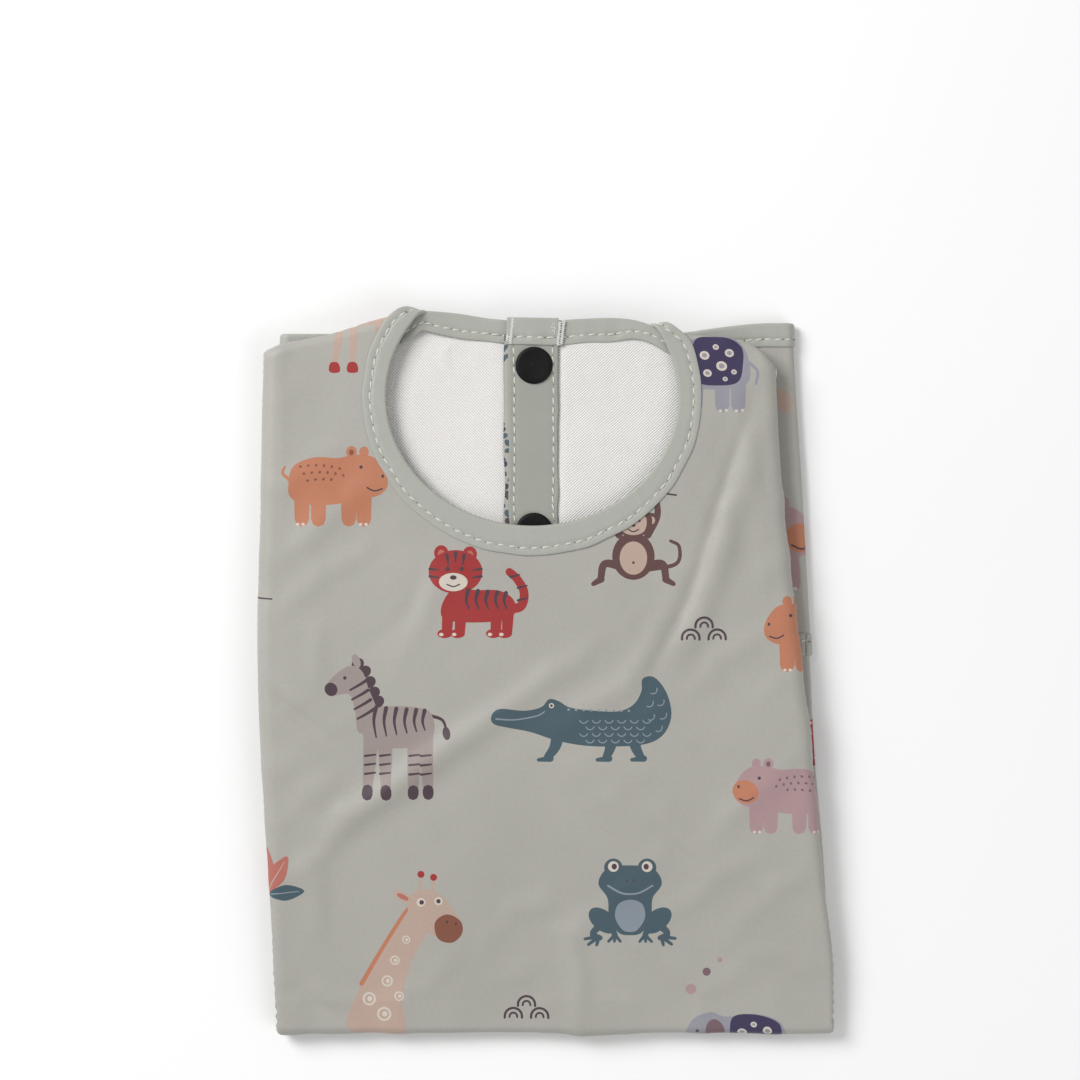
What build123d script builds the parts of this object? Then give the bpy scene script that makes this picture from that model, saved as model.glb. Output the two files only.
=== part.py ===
"""Short-sleeved smock bib of coated fabric, stored folded.

The sides are folded behind the front, then the lower half is folded up behind the upper half, so the hem lies
behind the neck. The bib lies flat, front up. Millimetres, +Z up, +Y towards the neck, +X to the viewer's right
when looking down on the front. The origin is the bottom centre of the folded pack.
"""

import os

from build123d import *

os.makedirs("parts", exist_ok=True)

# ---------------------------------------------------------------- driving dimensions
FABRIC = 0.5  # coated fabric, one layer
CLEAR = 0.3  # between layers that move apart
HALF_WIDTH = 96.0  # of the folded pack at its widest
BINDING_WIDTH = 7.5
HEM_CORNER = 55.0  # radius of the rounded hem corners

# heights of the middle of each layer above the table, with the lower half folded behind
POCKET_Z = 0.75
LOWER_Z = 1.55
LOWER_FLAP_Z = 3.25
POCKET_FLAP_Z = 3.85
UPPER_FLAP_Z = 5.65
SLEEVE_Z = 6.65
BACK_LEFT_Z = 7.65
BACK_RIGHT_Z = 9.75
PLACKET_Z = 10.2
FRONT_Z = 12.65  # front at the neck
FRONT_FOLD_Z = 7.15  # front where it reaches the bottom fold
FRONT_LEVEL_Y = -40.0  # the front is level above this and slopes down to the fold below it

# bottom fold, where the lower half turns up behind
FOLD_Y = -118.0
FOLD_Z = (LOWER_Z + FRONT_FOLD_Z) / 2
FOLD_R = (FRONT_FOLD_Z - LOWER_Z + FABRIC) / 2
TOP_Y = -(FOLD_Y - FOLD_R)  # keeps the pack centred on the origin
HEM_Y = 118.0

# free edges of the side flaps, either side of the snaps' channel
FREE_LEFT, FREE_RIGHT = -12.0, 4.0

# neck opening
NECK_X, NECK_Y = -4.6, 92.0
NECK_INNER = (48.2, 43.0)
NECK_OUTER = (55.8, 53.0)

# pocket on the lower half
POCKET_MOUTH_Y = 6.0
POCKET_HINGE_Y = HEM_Y - BINDING_WIDTH - 0.4
POCKET_SPLIT = 60.0  # the middle of the pocket gapes, its sides stay with the side folds

# back closure
PLACKET_X0, PLACKET_X1 = -12.6, 3.2
PLACKET_T = 0.8  # panel edge and facing together
FLAP_Y0 = 84.0  # the flap opens above this and twists between it and BEND_Y0
BEND_Y0 = 54.0
BACK_TOP_Y = 118.3
BACK_BOTTOM_Y = -58.0
HINGE_X = 3.5

# plastic snaps
SNAP_X = -4.0
SNAP_YS = {"upper": 102.3, "lower": 47.1}
CAP_R, CAP_H = 6.2, 1.1
DISC_R = 5.0
KNOB_R, SOCKET_BORE_R = 2.15, 2.45
POST_R = 0.9


# ---------------------------------------------------------------- helpers
def save(shape, name):
    """One node: a closed solid or a group of them."""
    export_step(Compound(children=[s for s in shape.solids()]), f"parts/{name}.step")


def prism(face, z0, z1):
    """A flat face raised from z0 to z1."""
    return Pos(0, 0, z0) * extrude(face, amount=z1 - z0, dir=(0, 0, 1))


def slab(face, middle, thickness=FABRIC):
    """A flat layer of fabric: the face, thickened evenly about its height."""
    return prism(face, middle - thickness / 2, middle + thickness / 2)


def box(x0, x1, y0, y1, z0, z1):
    return Pos((x0 + x1) / 2, (y0 + y1) / 2, (z0 + z1) / 2) * Box(x1 - x0, y1 - y0, z1 - z0)


def disc(x, y, z0, z1, radius):
    return Pos(x, y, (z0 + z1) / 2) * Cylinder(radius, z1 - z0)


def wrap_section(y, x_left, x_right, main_z, flap_z, thickness, free=(FREE_LEFT, FREE_RIGHT)):
    """Cross-section at y of a sheet whose two sides are folded round to flap_z."""
    side = 1 if main_z > flap_z else -1
    half = thickness / 2
    turn = abs(main_z - flap_z) / 2
    centre_z = (main_z + flap_z) / 2
    left, right = x_left + turn + half, x_right - turn - half
    main_out, main_in = main_z + side * half, main_z - side * half
    flap_out, flap_in = flap_z - side * half, flap_z + side * half

    def at(x, z):
        return Vector(x, y, z)

    edges = [
        Edge.make_line(at(free[0], flap_out), at(left, flap_out)),
        Edge.make_three_point_arc(at(left, flap_out), at(x_left, centre_z), at(left, main_out)),
        Edge.make_line(at(left, main_out), at(right, main_out)),
        Edge.make_three_point_arc(at(right, main_out), at(x_right, centre_z), at(right, flap_out)),
        Edge.make_line(at(right, flap_out), at(free[1], flap_out)),
        Edge.make_line(at(free[1], flap_out), at(free[1], flap_in)),
        Edge.make_line(at(free[1], flap_in), at(right, flap_in)),
        Edge.make_three_point_arc(
            at(right, flap_in), at(x_right - thickness, centre_z), at(right, main_in)
        ),
        Edge.make_line(at(right, main_in), at(left, main_in)),
        Edge.make_three_point_arc(
            at(left, main_in), at(x_left + thickness, centre_z), at(left, flap_in)
        ),
        Edge.make_line(at(left, flap_in), at(free[0], flap_in)),
        Edge.make_line(at(free[0], flap_in), at(free[0], flap_out)),
    ]
    return Wire(edges)


def wrapped(stations, main_z, flap_z, thickness=FABRIC, grow=0.0, free=(FREE_LEFT, FREE_RIGHT)):
    """A sheet with folded sides through (y, x_left, x_right); main_z is a height or a function of y."""
    height = main_z if callable(main_z) else lambda y: main_z
    sections = [
        wrap_section(y, left - grow, right + grow, height(y), flap_z, thickness, free)
        for y, left, right in stations
    ]
    return Solid.make_loft(sections, ruled=True)


def side_at(stations, y):
    """Left and right edge of a list of stations at y."""
    for (y0, l0, r0), (y1, l1, r1) in zip(stations, stations[1:]):
        if y0 <= y <= y1:
            share = (y - y0) / (y1 - y0)
            return l0 + share * (l1 - l0), r0 + share * (r1 - r0)
    raise ValueError(f"no station covers y = {y}")


def part_of(stations, y0, y1):
    """The stations between y0 and y1, with both ends added."""
    inside = [s for s in stations if y0 < s[0] < y1]
    return [(y0, *side_at(stations, y0)), *inside, (y1, *side_at(stations, y1))]


def front_height(y):
    """Middle of the front layer: level at the neck, sloping to the bottom fold."""
    share = min(1.0, (y - FOLD_Y) / (FRONT_LEVEL_Y - FOLD_Y))
    return FRONT_FOLD_Z + share * (FRONT_Z - FRONT_FOLD_Z)


def neck_ellipse(radii):
    return Pos(NECK_X, NECK_Y) * Ellipse(*radii)


def flap_outline(free_x, sign, inset):
    """Outline of a lower side flap with its rounded hem corner; sign is +1 where the flap lies to the
    right of its free edge."""
    free_x, hem = free_x + sign * inset, HEM_Y - inset
    radius = HEM_CORNER - inset
    far_x, low = sign * HALF_WIDTH * 1.2, FOLD_Y
    corner = (free_x + sign * radius, hem - radius)
    middle = (
        corner[0] - sign * radius * 0.5**0.5,
        corner[1] + radius * 0.5**0.5,
    )
    outline = Wire(
        [
            Edge.make_line((free_x, low, 0), (far_x, low, 0)),
            Edge.make_line((far_x, low, 0), (far_x, hem, 0)),
            Edge.make_line((far_x, hem, 0), (corner[0], hem, 0)),
            Edge.make_three_point_arc((corner[0], hem, 0), (*middle, 0), (free_x, corner[1], 0)),
            Edge.make_line((free_x, corner[1], 0), (free_x, low, 0)),
        ]
    )
    return Face(outline)


# ---------------------------------------------------------------- upper half: front and its side folds
# (y, left edge, right edge) of the front, bottom fold to shoulders
FRONT_SIDES = [
    (FOLD_Y, -89.3, 96.0),
    (-95.0, -91.0, 95.6),
    (FRONT_LEVEL_Y, -94.3, 90.2),
    (10.0, -96.0, 84.3),
    (57.0, -95.0, 79.3),
    (TOP_Y, -93.6, 77.0),
]
SHOULDER_LEFT = [(-93.0, 107.0), (-87.0, 109.6), (-72.0, 113.0), (-46.0, TOP_Y)]
SHOULDER_RIGHT = [(30.0, 117.5), (48.0, 112.7), (62.0, 111.2), (70.0, 108.9), (74.4, 105.6)]
OUTSIDE_LEFT = [(-46.0, 140.0), (-100.0, 140.0), (-100.0, 105.5)]
OUTSIDE_RIGHT = [(78.0, 100.0), (84.0, 96.0), (84.0, 140.0), (30.0, 140.0)]
FLAP_TOP = [(-100, 92.0), (FREE_LEFT, 104.0), (FREE_RIGHT, 104.0), (100, 88.0), (100, 140), (-100, 140)]
INSIDE_Z = 9.0  # above this only the front layer is cut


def make_front_upper():
    sheet = wrapped(FRONT_SIDES, front_height, UPPER_FLAP_Z)
    shoulders = (
        (SHOULDER_LEFT, OUTSIDE_LEFT, BACK_LEFT_Z),
        (SHOULDER_RIGHT, OUTSIDE_RIGHT, BACK_RIGHT_Z),
    )
    for edge, outside, low_z in shoulders:
        sheet -= slab(Polygon(*edge, *outside, align=None), FRONT_Z, 40)
        inner = [(x, y - 0.8) for x, y in reversed(edge)]
        band = Polygon(*edge, *inner, align=None) - neck_ellipse((NECK_OUTER[0] + 0.5, NECK_OUTER[1] + 0.5))
        sheet += prism(band, low_z + 0.5, FRONT_Z)
    sheet -= slab(Polygon(*FLAP_TOP, align=None), UPPER_FLAP_Z, 2.0)
    hole = (NECK_INNER[0] + 2.0, NECK_INNER[1] + 3.0)
    sheet -= prism(neck_ellipse(hole), INSIDE_Z, INSIDE_Z + 10)
    save(sheet, "front_panel_upper")


def make_neck_binding_front():
    band = neck_ellipse(NECK_OUTER) - neck_ellipse(NECK_INNER)
    band -= Polygon((-80, TOP_Y), (-30, TOP_Y), (20, 117.5), (80, 117.5), (80, 160), (-80, 160), align=None)
    slot = neck_ellipse((NECK_OUTER[0] + 5, NECK_OUTER[1] + 5)) - neck_ellipse(
        (NECK_INNER[0] + 1.8, NECK_INNER[1] + 2.8)
    )
    binding = slab(band, FRONT_Z, 1.5) - slab(slot, FRONT_Z, FABRIC + 0.06)
    save(binding, "neck_binding_front")


def make_side_binding_upper():
    """The last few millimetres of the side binding, from the bottom fold up to the armpits."""
    length = 19.0
    pair = []
    for free_x, sign in ((FREE_LEFT, -1), (FREE_RIGHT, 1)):
        edge, inner = sorted((free_x - sign * 0.6, free_x + sign * (BINDING_WIDTH - 0.6)))
        strip = box(edge, inner, FOLD_Y, FOLD_Y + length, UPPER_FLAP_Z - 0.7, UPPER_FLAP_Z + 0.7)
        reach, far = sorted((free_x - sign * 0.02, free_x + sign * 20))
        slot = box(reach, far, FOLD_Y - 1, FOLD_Y + length + 1, UPPER_FLAP_Z - 0.28, UPPER_FLAP_Z + 0.28)
        pair.append(strip - slot)
    save(Compound(children=[s for p in pair for s in p.solids()]), "side_binding_upper")


# ---------------------------------------------------------------- upper half: back, sleeves and closure
def make_back_panels():
    left_top = [(-86, 104), (-48, BACK_TOP_Y - 2), (-20, BACK_TOP_Y - 2), (1.5, BACK_TOP_Y - 2)]
    left = Polygon(*left_top, (1.5, BACK_BOTTOM_Y), (-86, BACK_BOTTOM_Y), align=None)
    right_x = HINGE_X + 0.7
    right_top = [(70, 99), (36, BACK_TOP_Y - 3), (right_x, BACK_TOP_Y - 2)]
    right = Polygon(*right_top, (right_x, BACK_BOTTOM_Y), (76, BACK_BOTTOM_Y), align=None)
    left_solid = slab(left, BACK_LEFT_Z)
    for y in SNAP_YS.values():
        left_solid -= disc(SNAP_X, y, 0, 12, POST_R + 0.1)
    save(left_solid, "back_panel_left")
    save(slab(right, BACK_RIGHT_Z), "back_panel_right")


def back_binding(points, middle):
    """Neck binding along the top of a back panel, wrapped round its edge."""
    wrap = slab(Polygon(*points, align=None), middle, 1.6)
    x0, x1 = min(p[0] for p in points), max(p[0] for p in points)
    slot = box(x0 - 1, x1 + 1, 90, BACK_TOP_Y - 1.9, middle - 0.29, middle + 0.29)
    return wrap - slot


def make_neck_binding_back():
    left = [(-41, 113.0), (-41, 120.4), (-14, BACK_TOP_Y), (1.5, BACK_TOP_Y), (1.5, 109.2), (-14, 109.2)]
    right_x = HINGE_X + 1.4
    right = [(right_x, 109.2), (right_x, BACK_TOP_Y), (28, BACK_TOP_Y), (35, 116.5), (31, 109.8)]
    save(back_binding(left, BACK_LEFT_Z), "neck_binding_back_left")
    save(back_binding(right, BACK_RIGHT_Z), "neck_binding_back_right")


def make_placket():
    """The inner edge of the back opening: kept closed below, a bending stretch, and the flap that opens."""
    spans = {
        "placket_lower": (BACK_BOTTOM_Y, BEND_Y0),
        "placket_bend": (BEND_Y0 + 0.02, FLAP_Y0 - 0.02),
        "placket_flap": (FLAP_Y0, BACK_TOP_Y - 2),
    }
    for name, (y0, y1) in spans.items():
        strip = box(PLACKET_X0, PLACKET_X1, y0, y1, PLACKET_Z - PLACKET_T / 2, PLACKET_Z + PLACKET_T / 2)
        for y in SNAP_YS.values():
            if y0 < y < y1:
                strip -= disc(SNAP_X, y, 0, 20, POST_R + 0.1)
        save(strip, name)
    tab = box(PLACKET_X0 - 0.2, PLACKET_X1 - 0.2, 109.2, BACK_TOP_Y, PLACKET_Z - 0.85, PLACKET_Z + 0.85)
    tab -= box(-20, 10, 90, BACK_TOP_Y - 1.9, PLACKET_Z - 0.43, PLACKET_Z + 0.43)
    save(tab, "neck_binding_tab")
    tack_z = PLACKET_Z + 0.87
    save(box(-13.0, -11.4, 109.0, 118.2, tack_z, tack_z + 0.4), "bartack_left")
    tack_z = BACK_RIGHT_Z + 0.82
    save(box(HINGE_X + 1.6, HINGE_X + 3.6, 109.4, 118.2, tack_z, tack_z + 0.4), "bartack_right")


def make_sleeves():
    """Each sleeve is a flattened tube, folded back on itself behind the front's side flap."""
    wall, height = 0.4, 1.1
    shapes = {
        "left": [(-14, -98), (-14, 92), (-72, 56), (-72, -42)],
        "right": [(6, -98), (6, 92), (64, 56), (64, -42)],
    }
    for side, points in shapes.items():
        sign = -1 if side == "left" else 1
        cuff_x = points[2][0]
        tube = slab(Polygon(*points, align=None), SLEEVE_Z, height)
        hollow = [
            (points[0][0] + sign * 2, points[0][1] + 3),
            (points[1][0] + sign * 2, points[1][1] - 3),
            (cuff_x + sign * 5, points[2][1] - 5),
            (cuff_x + sign * 5, points[3][1] + 5),
        ]
        tube -= slab(Polygon(*hollow, align=None), SLEEVE_Z, height - 2 * wall)
        save(tube, f"sleeve_{side}")
        near, far = sorted((cuff_x + sign * 0.05, cuff_x + sign * 7.0))
        cuff = box(near, far, points[3][1] - 1, points[2][1] + 1, SLEEVE_Z - 0.65, SLEEVE_Z + 0.65)
        cuff -= box(near - 1, far + 1, points[3][1] + 3, points[2][1] - 3, SLEEVE_Z - 0.15, SLEEVE_Z + 0.15)
        save(cuff, f"cuff_binding_{side}")


def cap(y, base_z, up):
    """A snap's domed cap with the post that goes through the fabric; up is +1 for a dome on top."""
    rim = 0.45
    dome_r = (CAP_R**2 + (CAP_H - rim) ** 2) / (2 * (CAP_H - rim))
    ball = Pos(0, 0, CAP_H - dome_r) * Sphere(dome_r)
    shape = (Pos(0, 0, CAP_H / 2) * Cylinder(CAP_R, CAP_H)) & ball
    shape += Pos(0, 0, -0.7) * Cylinder(POST_R, 1.4)
    if up < 0:
        shape = Rot(180, 0, 0) * shape
    return Pos(SNAP_X, y, base_z) * shape


def make_snaps():
    placket_top, placket_low = PLACKET_Z + PLACKET_T / 2, PLACKET_Z - PLACKET_T / 2
    back_top, back_low = BACK_LEFT_Z + FABRIC / 2, BACK_LEFT_Z - FABRIC / 2
    disc_t, floor_t = 0.4, 0.3
    socket_top = placket_low - disc_t - 0.15
    for name, y in SNAP_YS.items():
        stud = disc(SNAP_X, y, placket_low - disc_t, placket_low, DISC_R)
        stud += disc(SNAP_X, y, back_top + floor_t + 0.15, placket_low - disc_t, KNOB_R)
        stud -= disc(SNAP_X, y, 0, 20, POST_R + 0.05)
        socket = disc(SNAP_X, y, back_top, socket_top, DISC_R + 0.1)
        socket -= disc(SNAP_X, y, back_top + floor_t, 20, SOCKET_BORE_R)
        socket -= disc(SNAP_X, y, 0, 20, POST_R + 0.05)
        inner = cap(y, placket_top, 1)
        outer = cap(y, back_low, -1) & disc(SNAP_X, y, 0, back_top + floor_t, 10)
        save(inner, f"snap_{name}_inner_cap")
        save(stud, f"snap_{name}_stud")
        save(socket, f"snap_{name}_socket")
        save(outer, f"snap_{name}_outer_cap")


# ---------------------------------------------------------------- lower half
LOWER_SIDES = [
    (FOLD_Y, -89.3, 96.0),
    (-60.0, -91.0, 92.4),
    (0.0, -92.0, 88.6),
    (24.0, -91.6, 87.4),
    (109.0, -88.4, 82.0),
    (HEM_Y, -88.0, 81.6),
]


def flap_corners(inset, z0, z1):
    """What to cut from both lower flaps so that they follow their outline."""
    area = box(-HALF_WIDTH * 1.1, HALF_WIDTH * 1.1, FOLD_Y - 1, HEM_Y + 1, z0, z1)
    for free_x, sign in ((FREE_LEFT, -1), (FREE_RIGHT, 1)):
        area -= prism(flap_outline(free_x, sign, inset), z0, z1)
    return area


def make_front_lower():
    sheet = wrapped(part_of(LOWER_SIDES, FOLD_Y, HEM_Y - 2), LOWER_Z, LOWER_FLAP_Z)
    sheet -= flap_corners(2.0, LOWER_FLAP_Z - FABRIC, LOWER_FLAP_Z + FABRIC)
    save(sheet, "front_panel_lower")


def make_pocket():
    stations = part_of(LOWER_SIDES, POCKET_MOUTH_Y, HEM_Y - 2)
    sheet = wrapped(stations, POCKET_Z, POCKET_FLAP_Z, grow=0.75)
    sheet -= flap_corners(2.0, POCKET_FLAP_Z - FABRIC, POCKET_FLAP_Z + FABRIC)
    middle = box(-POCKET_SPLIT, POCKET_SPLIT, 0, POCKET_HINGE_Y, -1, LOWER_Z)
    save(sheet & middle, "pocket_centre")
    left = sheet & box(-HALF_WIDTH * 1.2, -POCKET_SPLIT - CLEAR, 0, HEM_Y, -1, 8)
    left += sheet & box(-POCKET_SPLIT - CLEAR, FREE_LEFT, 0, HEM_Y, LOWER_FLAP_Z, 8)
    right = sheet & box(POCKET_SPLIT + CLEAR, HALF_WIDTH * 1.2, 0, HEM_Y, -1, 8)
    right += sheet & box(FREE_RIGHT, POCKET_SPLIT + CLEAR, 0, HEM_Y, LOWER_FLAP_Z, 8)
    return left, right


def make_pocket_binding(pocket_sides):
    """Binding on the pocket's mouth: it wraps the edge, and folds with the pocket's sides."""
    width, wall = 7.5, 0.42
    y0, y1 = POCKET_MOUTH_Y - 0.6, POCKET_MOUTH_Y - 0.6 + width
    stations = part_of(LOWER_SIDES, y0, y1)
    slot_stations = part_of(LOWER_SIDES, POCKET_MOUTH_Y - 0.05, y1)
    wall_low = POCKET_Z - FABRIC / 2 - wall
    thick = 2 * wall + FABRIC
    sheet = wrapped(stations, POCKET_Z, POCKET_FLAP_Z, thick, grow=0.75 + wall)
    slot = wrapped(slot_stations, POCKET_Z, POCKET_FLAP_Z, FABRIC + 0.04, grow=0.77)
    sheet -= slot
    ceiling = LOWER_Z - FABRIC / 2 - 0.05
    sheet &= box(-HALF_WIDTH * 1.2, HALF_WIDTH * 1.2, 0, 20, wall_low, 8) - wrapped(
        stations, LOWER_Z, LOWER_FLAP_Z, FABRIC + 0.1, grow=0.05
    )
    middle = box(-POCKET_SPLIT, POCKET_SPLIT, 0, 20, -1, ceiling - 0.2)
    save(sheet & middle, "pocket_binding_centre")
    reach = HALF_WIDTH * 1.2
    flap_low = LOWER_FLAP_Z + FABRIC / 2 + 0.05
    sides = {
        "left": ((-reach, -POCKET_SPLIT - CLEAR), (-POCKET_SPLIT - CLEAR, FREE_LEFT - BINDING_WIDTH)),
        "right": ((POCKET_SPLIT + CLEAR, reach), (FREE_RIGHT + BINDING_WIDTH, POCKET_SPLIT + CLEAR)),
    }
    for index, (side, (turned, flat)) in enumerate(sides.items()):
        binding = sheet & box(*turned, 0, 20, -1, 8)
        binding += sheet & box(*flat, 0, 20, flap_low, 8)
        save(binding, f"pocket_binding_{side}")
        save(pocket_sides[index], f"pocket_side_{side}")


def make_hem_binding():
    """One strip round the hem and up both free edges, wrapped round the panel and the pocket."""
    thick = 2.2
    stations = part_of(LOWER_SIDES, HEM_Y - BINDING_WIDTH, HEM_Y)
    main_z, flap_z = thick / 2, 1.5 * thick + 0.15
    straight = (FREE_LEFT - HEM_CORNER, FREE_RIGHT + HEM_CORNER)
    hem = wrapped(stations, main_z, flap_z, thick + 0.1, grow=1.25, free=straight)
    hem &= box(-HALF_WIDTH, HALF_WIDTH, 0, HEM_Y, 0, flap_z + thick / 2)
    hem -= wrapped(part_of(LOWER_SIDES, HEM_Y - 8, HEM_Y - 1.9), LOWER_Z, LOWER_FLAP_Z, FABRIC + 0.06, grow=0.03)
    hem -= wrapped(part_of(LOWER_SIDES, HEM_Y - 8, HEM_Y - 1.9), POCKET_Z, POCKET_FLAP_Z, FABRIC + 0.06, grow=0.78)
    binding = hem
    for free_x, sign in ((FREE_LEFT, -1), (FREE_RIGHT, 1)):
        band = flap_outline(free_x, sign, 0) - flap_outline(free_x, sign, BINDING_WIDTH)
        near, far = sorted((free_x, free_x + sign * HEM_CORNER))
        band &= Pos((near + far) / 2, 0) * Rectangle(far - near, 2 * HEM_Y + 10)
        strip = slab(band, flap_z, thick)
        strip -= slab(flap_outline(free_x, sign, 1.9), LOWER_FLAP_Z, FABRIC + 0.06)
        strip -= slab(flap_outline(free_x, sign, 1.9), POCKET_FLAP_Z, FABRIC + 0.06)
        binding += strip
    save(binding, "hem_binding")


def make_label():
    """Woven side label, a folded loop caught in the side binding beside the pocket."""
    x0 = FREE_RIGHT + BINDING_WIDTH
    loop = box(x0, x0 + 10, 13, 50, 4.2, 4.7) - box(x0 - 1, x0 + 9.6, 12, 51, 4.4, 4.5)
    save(loop, "side_label")


# ---------------------------------------------------------------- bottom fold
def half_tube(x0, x1, centre_z, outer_r):
    """A sheet turning half round the bottom fold, open towards +Y."""
    tube = Cylinder(outer_r, x1 - x0, rotation=(0, 90, 0)) - Cylinder(
        outer_r - FABRIC, x1 - x0 + 2, rotation=(0, 90, 0)
    )
    tube = Pos((x0 + x1) / 2, FOLD_Y, centre_z) * tube
    return tube & box(x0, x1, FOLD_Y - 20, FOLD_Y, -20, 40)


def make_fold():
    left, right = FRONT_SIDES[0][1], FRONT_SIDES[0][2]
    save(half_tube(left + 1.2, right - 1.2, FOLD_Z, FOLD_R), "front_fold_bend")
    inner_r = (UPPER_FLAP_Z - LOWER_FLAP_Z + FABRIC) / 2
    inner_z = (UPPER_FLAP_Z + LOWER_FLAP_Z) / 2
    pair = half_tube(left + 1.2, FREE_LEFT, inner_z, inner_r)
    pair += half_tube(FREE_RIGHT, right - 1.2, inner_z, inner_r)
    save(pair, "side_fold_bend")


make_front_upper()
make_neck_binding_front()
make_side_binding_upper()
make_back_panels()
make_neck_binding_back()
make_placket()
make_sleeves()
make_snaps()
make_front_lower()
make_pocket_binding(make_pocket())
make_hem_binding()
make_label()
make_fold()
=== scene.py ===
"""Looks of the folded smock bib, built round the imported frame.

Shapes are worked out in millimetres in the frame's axes, +Z out of the front and +Y towards the neck, and
turned into metres when a mesh is made. The front cloth is one flat pattern, u across and v along. cloth()
says where each point of it lies once both sides and the lower half are folded behind.
"""

import math

import bpy
import numpy as np
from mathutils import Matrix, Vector, geometry, kdtree


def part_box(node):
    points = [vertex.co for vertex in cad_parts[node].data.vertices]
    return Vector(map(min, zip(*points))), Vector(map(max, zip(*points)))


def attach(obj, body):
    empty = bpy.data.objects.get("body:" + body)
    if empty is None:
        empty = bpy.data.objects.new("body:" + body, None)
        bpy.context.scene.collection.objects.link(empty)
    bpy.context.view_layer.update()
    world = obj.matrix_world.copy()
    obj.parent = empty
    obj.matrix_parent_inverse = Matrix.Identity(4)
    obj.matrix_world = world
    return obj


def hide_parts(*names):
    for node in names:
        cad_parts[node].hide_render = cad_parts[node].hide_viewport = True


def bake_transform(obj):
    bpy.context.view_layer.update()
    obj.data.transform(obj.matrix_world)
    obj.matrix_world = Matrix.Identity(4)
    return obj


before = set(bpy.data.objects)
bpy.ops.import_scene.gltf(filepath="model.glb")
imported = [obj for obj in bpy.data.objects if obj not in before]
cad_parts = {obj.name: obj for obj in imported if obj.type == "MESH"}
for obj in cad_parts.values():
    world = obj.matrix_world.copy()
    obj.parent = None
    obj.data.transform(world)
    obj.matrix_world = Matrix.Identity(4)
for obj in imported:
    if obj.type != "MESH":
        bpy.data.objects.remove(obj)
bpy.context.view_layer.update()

MM = 0.001
UV_UNIT = 100.0  # millimetres of cloth to one unit of the flat pattern's UV map


def node_box(node):
    """Lowest and highest corner of a CAD node, in millimetres."""
    low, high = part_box(node)
    return np.array(low) / MM, np.array(high) / MM


def middle_z(node):
    """Height of a CAD node's middle, in millimetres."""
    low, high = node_box(node)
    return (low[2] + high[2]) / 2


# ---------------------------------------------------------------- sizes read from the frame
front_low, _ = node_box("front_panel_upper")
lower_low, lower_high = node_box("front_panel_lower")
bend_low, bend_high = node_box("front_fold_bend")
_, hem_high = node_box("hem_binding")
_, pocket_side_high = node_box("pocket_side_right")
left_low, left_high = node_box("back_panel_left")
sleeve_low, sleeve_high = node_box("sleeve_left")

FABRIC = left_high[2] - left_low[2]
BINDING_RISE = 0.75  # from the middle of the front cloth up to the top of the neck binding
FRONT_Z = node_box("neck_binding_front")[1][2] - BINDING_RISE
FLAP_Z = front_low[2] + FABRIC / 2
LOWER_Z = lower_low[2] + FABRIC / 2
LOWER_FLAP_Z = lower_high[2] - FABRIC / 2
BACK_LEFT_Z = middle_z("back_panel_left")
BACK_RIGHT_Z = middle_z("back_panel_right")
PLACKET_Z = middle_z("placket_lower")
POCKET_Z = middle_z("pocket_centre")
POCKET_FLAP_Z = pocket_side_high[2] - FABRIC / 2
FOLD_Y = bend_high[1]
FOLD_Z = middle_z("front_fold_bend")
FOLD_R = (bend_high[2] - bend_low[2]) / 2 - FABRIC / 2
FOLD_ARC = math.pi * FOLD_R
HEM_Y = hem_high[1]
POCKET_MOUTH_Y = node_box("pocket_binding_centre")[0][1]
FREE_LEFT, FREE_RIGHT = -12.0, 4.0  # x of the front's two free side edges, behind
FRONT_FOLD_Z = FOLD_Z + FOLD_R

# (y, left x, right x) of the folded front, from the bottom fold up, and of the lower half behind it
UPPER_EDGES = [
    (-118.0, -89.3, 96.0),
    (-95.0, -91.0, 95.6),
    (-68.0, -92.6, 92.4),
    (-40.0, -94.3, 90.0),
    (10.0, -96.0, 84.3),
    (57.0, -94.8, 79.3),
    (90.0, -94.2, 77.2),
    (122.0, -93.6, 76.4),
]
LOWER_EDGES = [
    (-118.0, -89.3, 96.0),
    (-60.0, -91.0, 92.4),
    (0.0, -92.0, 88.6),
    (24.0, -91.6, 87.2),
    (60.0, -89.8, 85.2),
    (109.0, -88.2, 82.2),
    (119.0, -88.0, 81.8),
]
# (y, height above the table) of the front, from the bottom fold up
FRONT_HEIGHT = [
    (-118.0, FRONT_FOLD_Z),
    (-104.0, 8.2),
    (-84.0, 9.7),
    (-60.0, 11.2),
    (-36.0, 12.2),
    (-10.0, 12.6),
    (30.0, FRONT_Z),
    (122.0, FRONT_Z),
]
# (x, y) of the line where the shoulders fold over to the back
SHOULDER_LINE = [
    (-100.0, 103.5),
    (-93.5, 106.9),
    (-87.0, 109.4),
    (-72.0, 113.0),
    (-46.0, 119.9),
    (-30.0, 120.3),
    (18.0, 118.6),
    (30.0, 117.2),
    (48.0, 112.7),
    (62.0, 111.0),
    (70.0, 108.6),
    (75.0, 103.6),
    (80.0, 97.0),
]
NECK_X, NECK_Y = -4.6, 92.0
NECK_INNER = (48.4, 43.0)
NECK_BAND = (8.0, 10.0)  # width at the sides and at the bottom
NECK_SEAM = (29.0, 62.0)  # where the ends of the neck binding's strip are joined
EDGE_SOFT = 1.35  # how much wider than high the side folds are
SHOULDER_SOFT = 1.2  # the same for the shoulder folds
SHOULDER_ARC = 1.1  # length of a shoulder fold beside a half circle's
LINING_GAP = 0.1  # from the middle of the back panels up to what lies on them
HEM_OUTSET, POCKET_OUTSET = 0.5, 0.75  # how far the hem and the pocket reach out past the lower half


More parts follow.
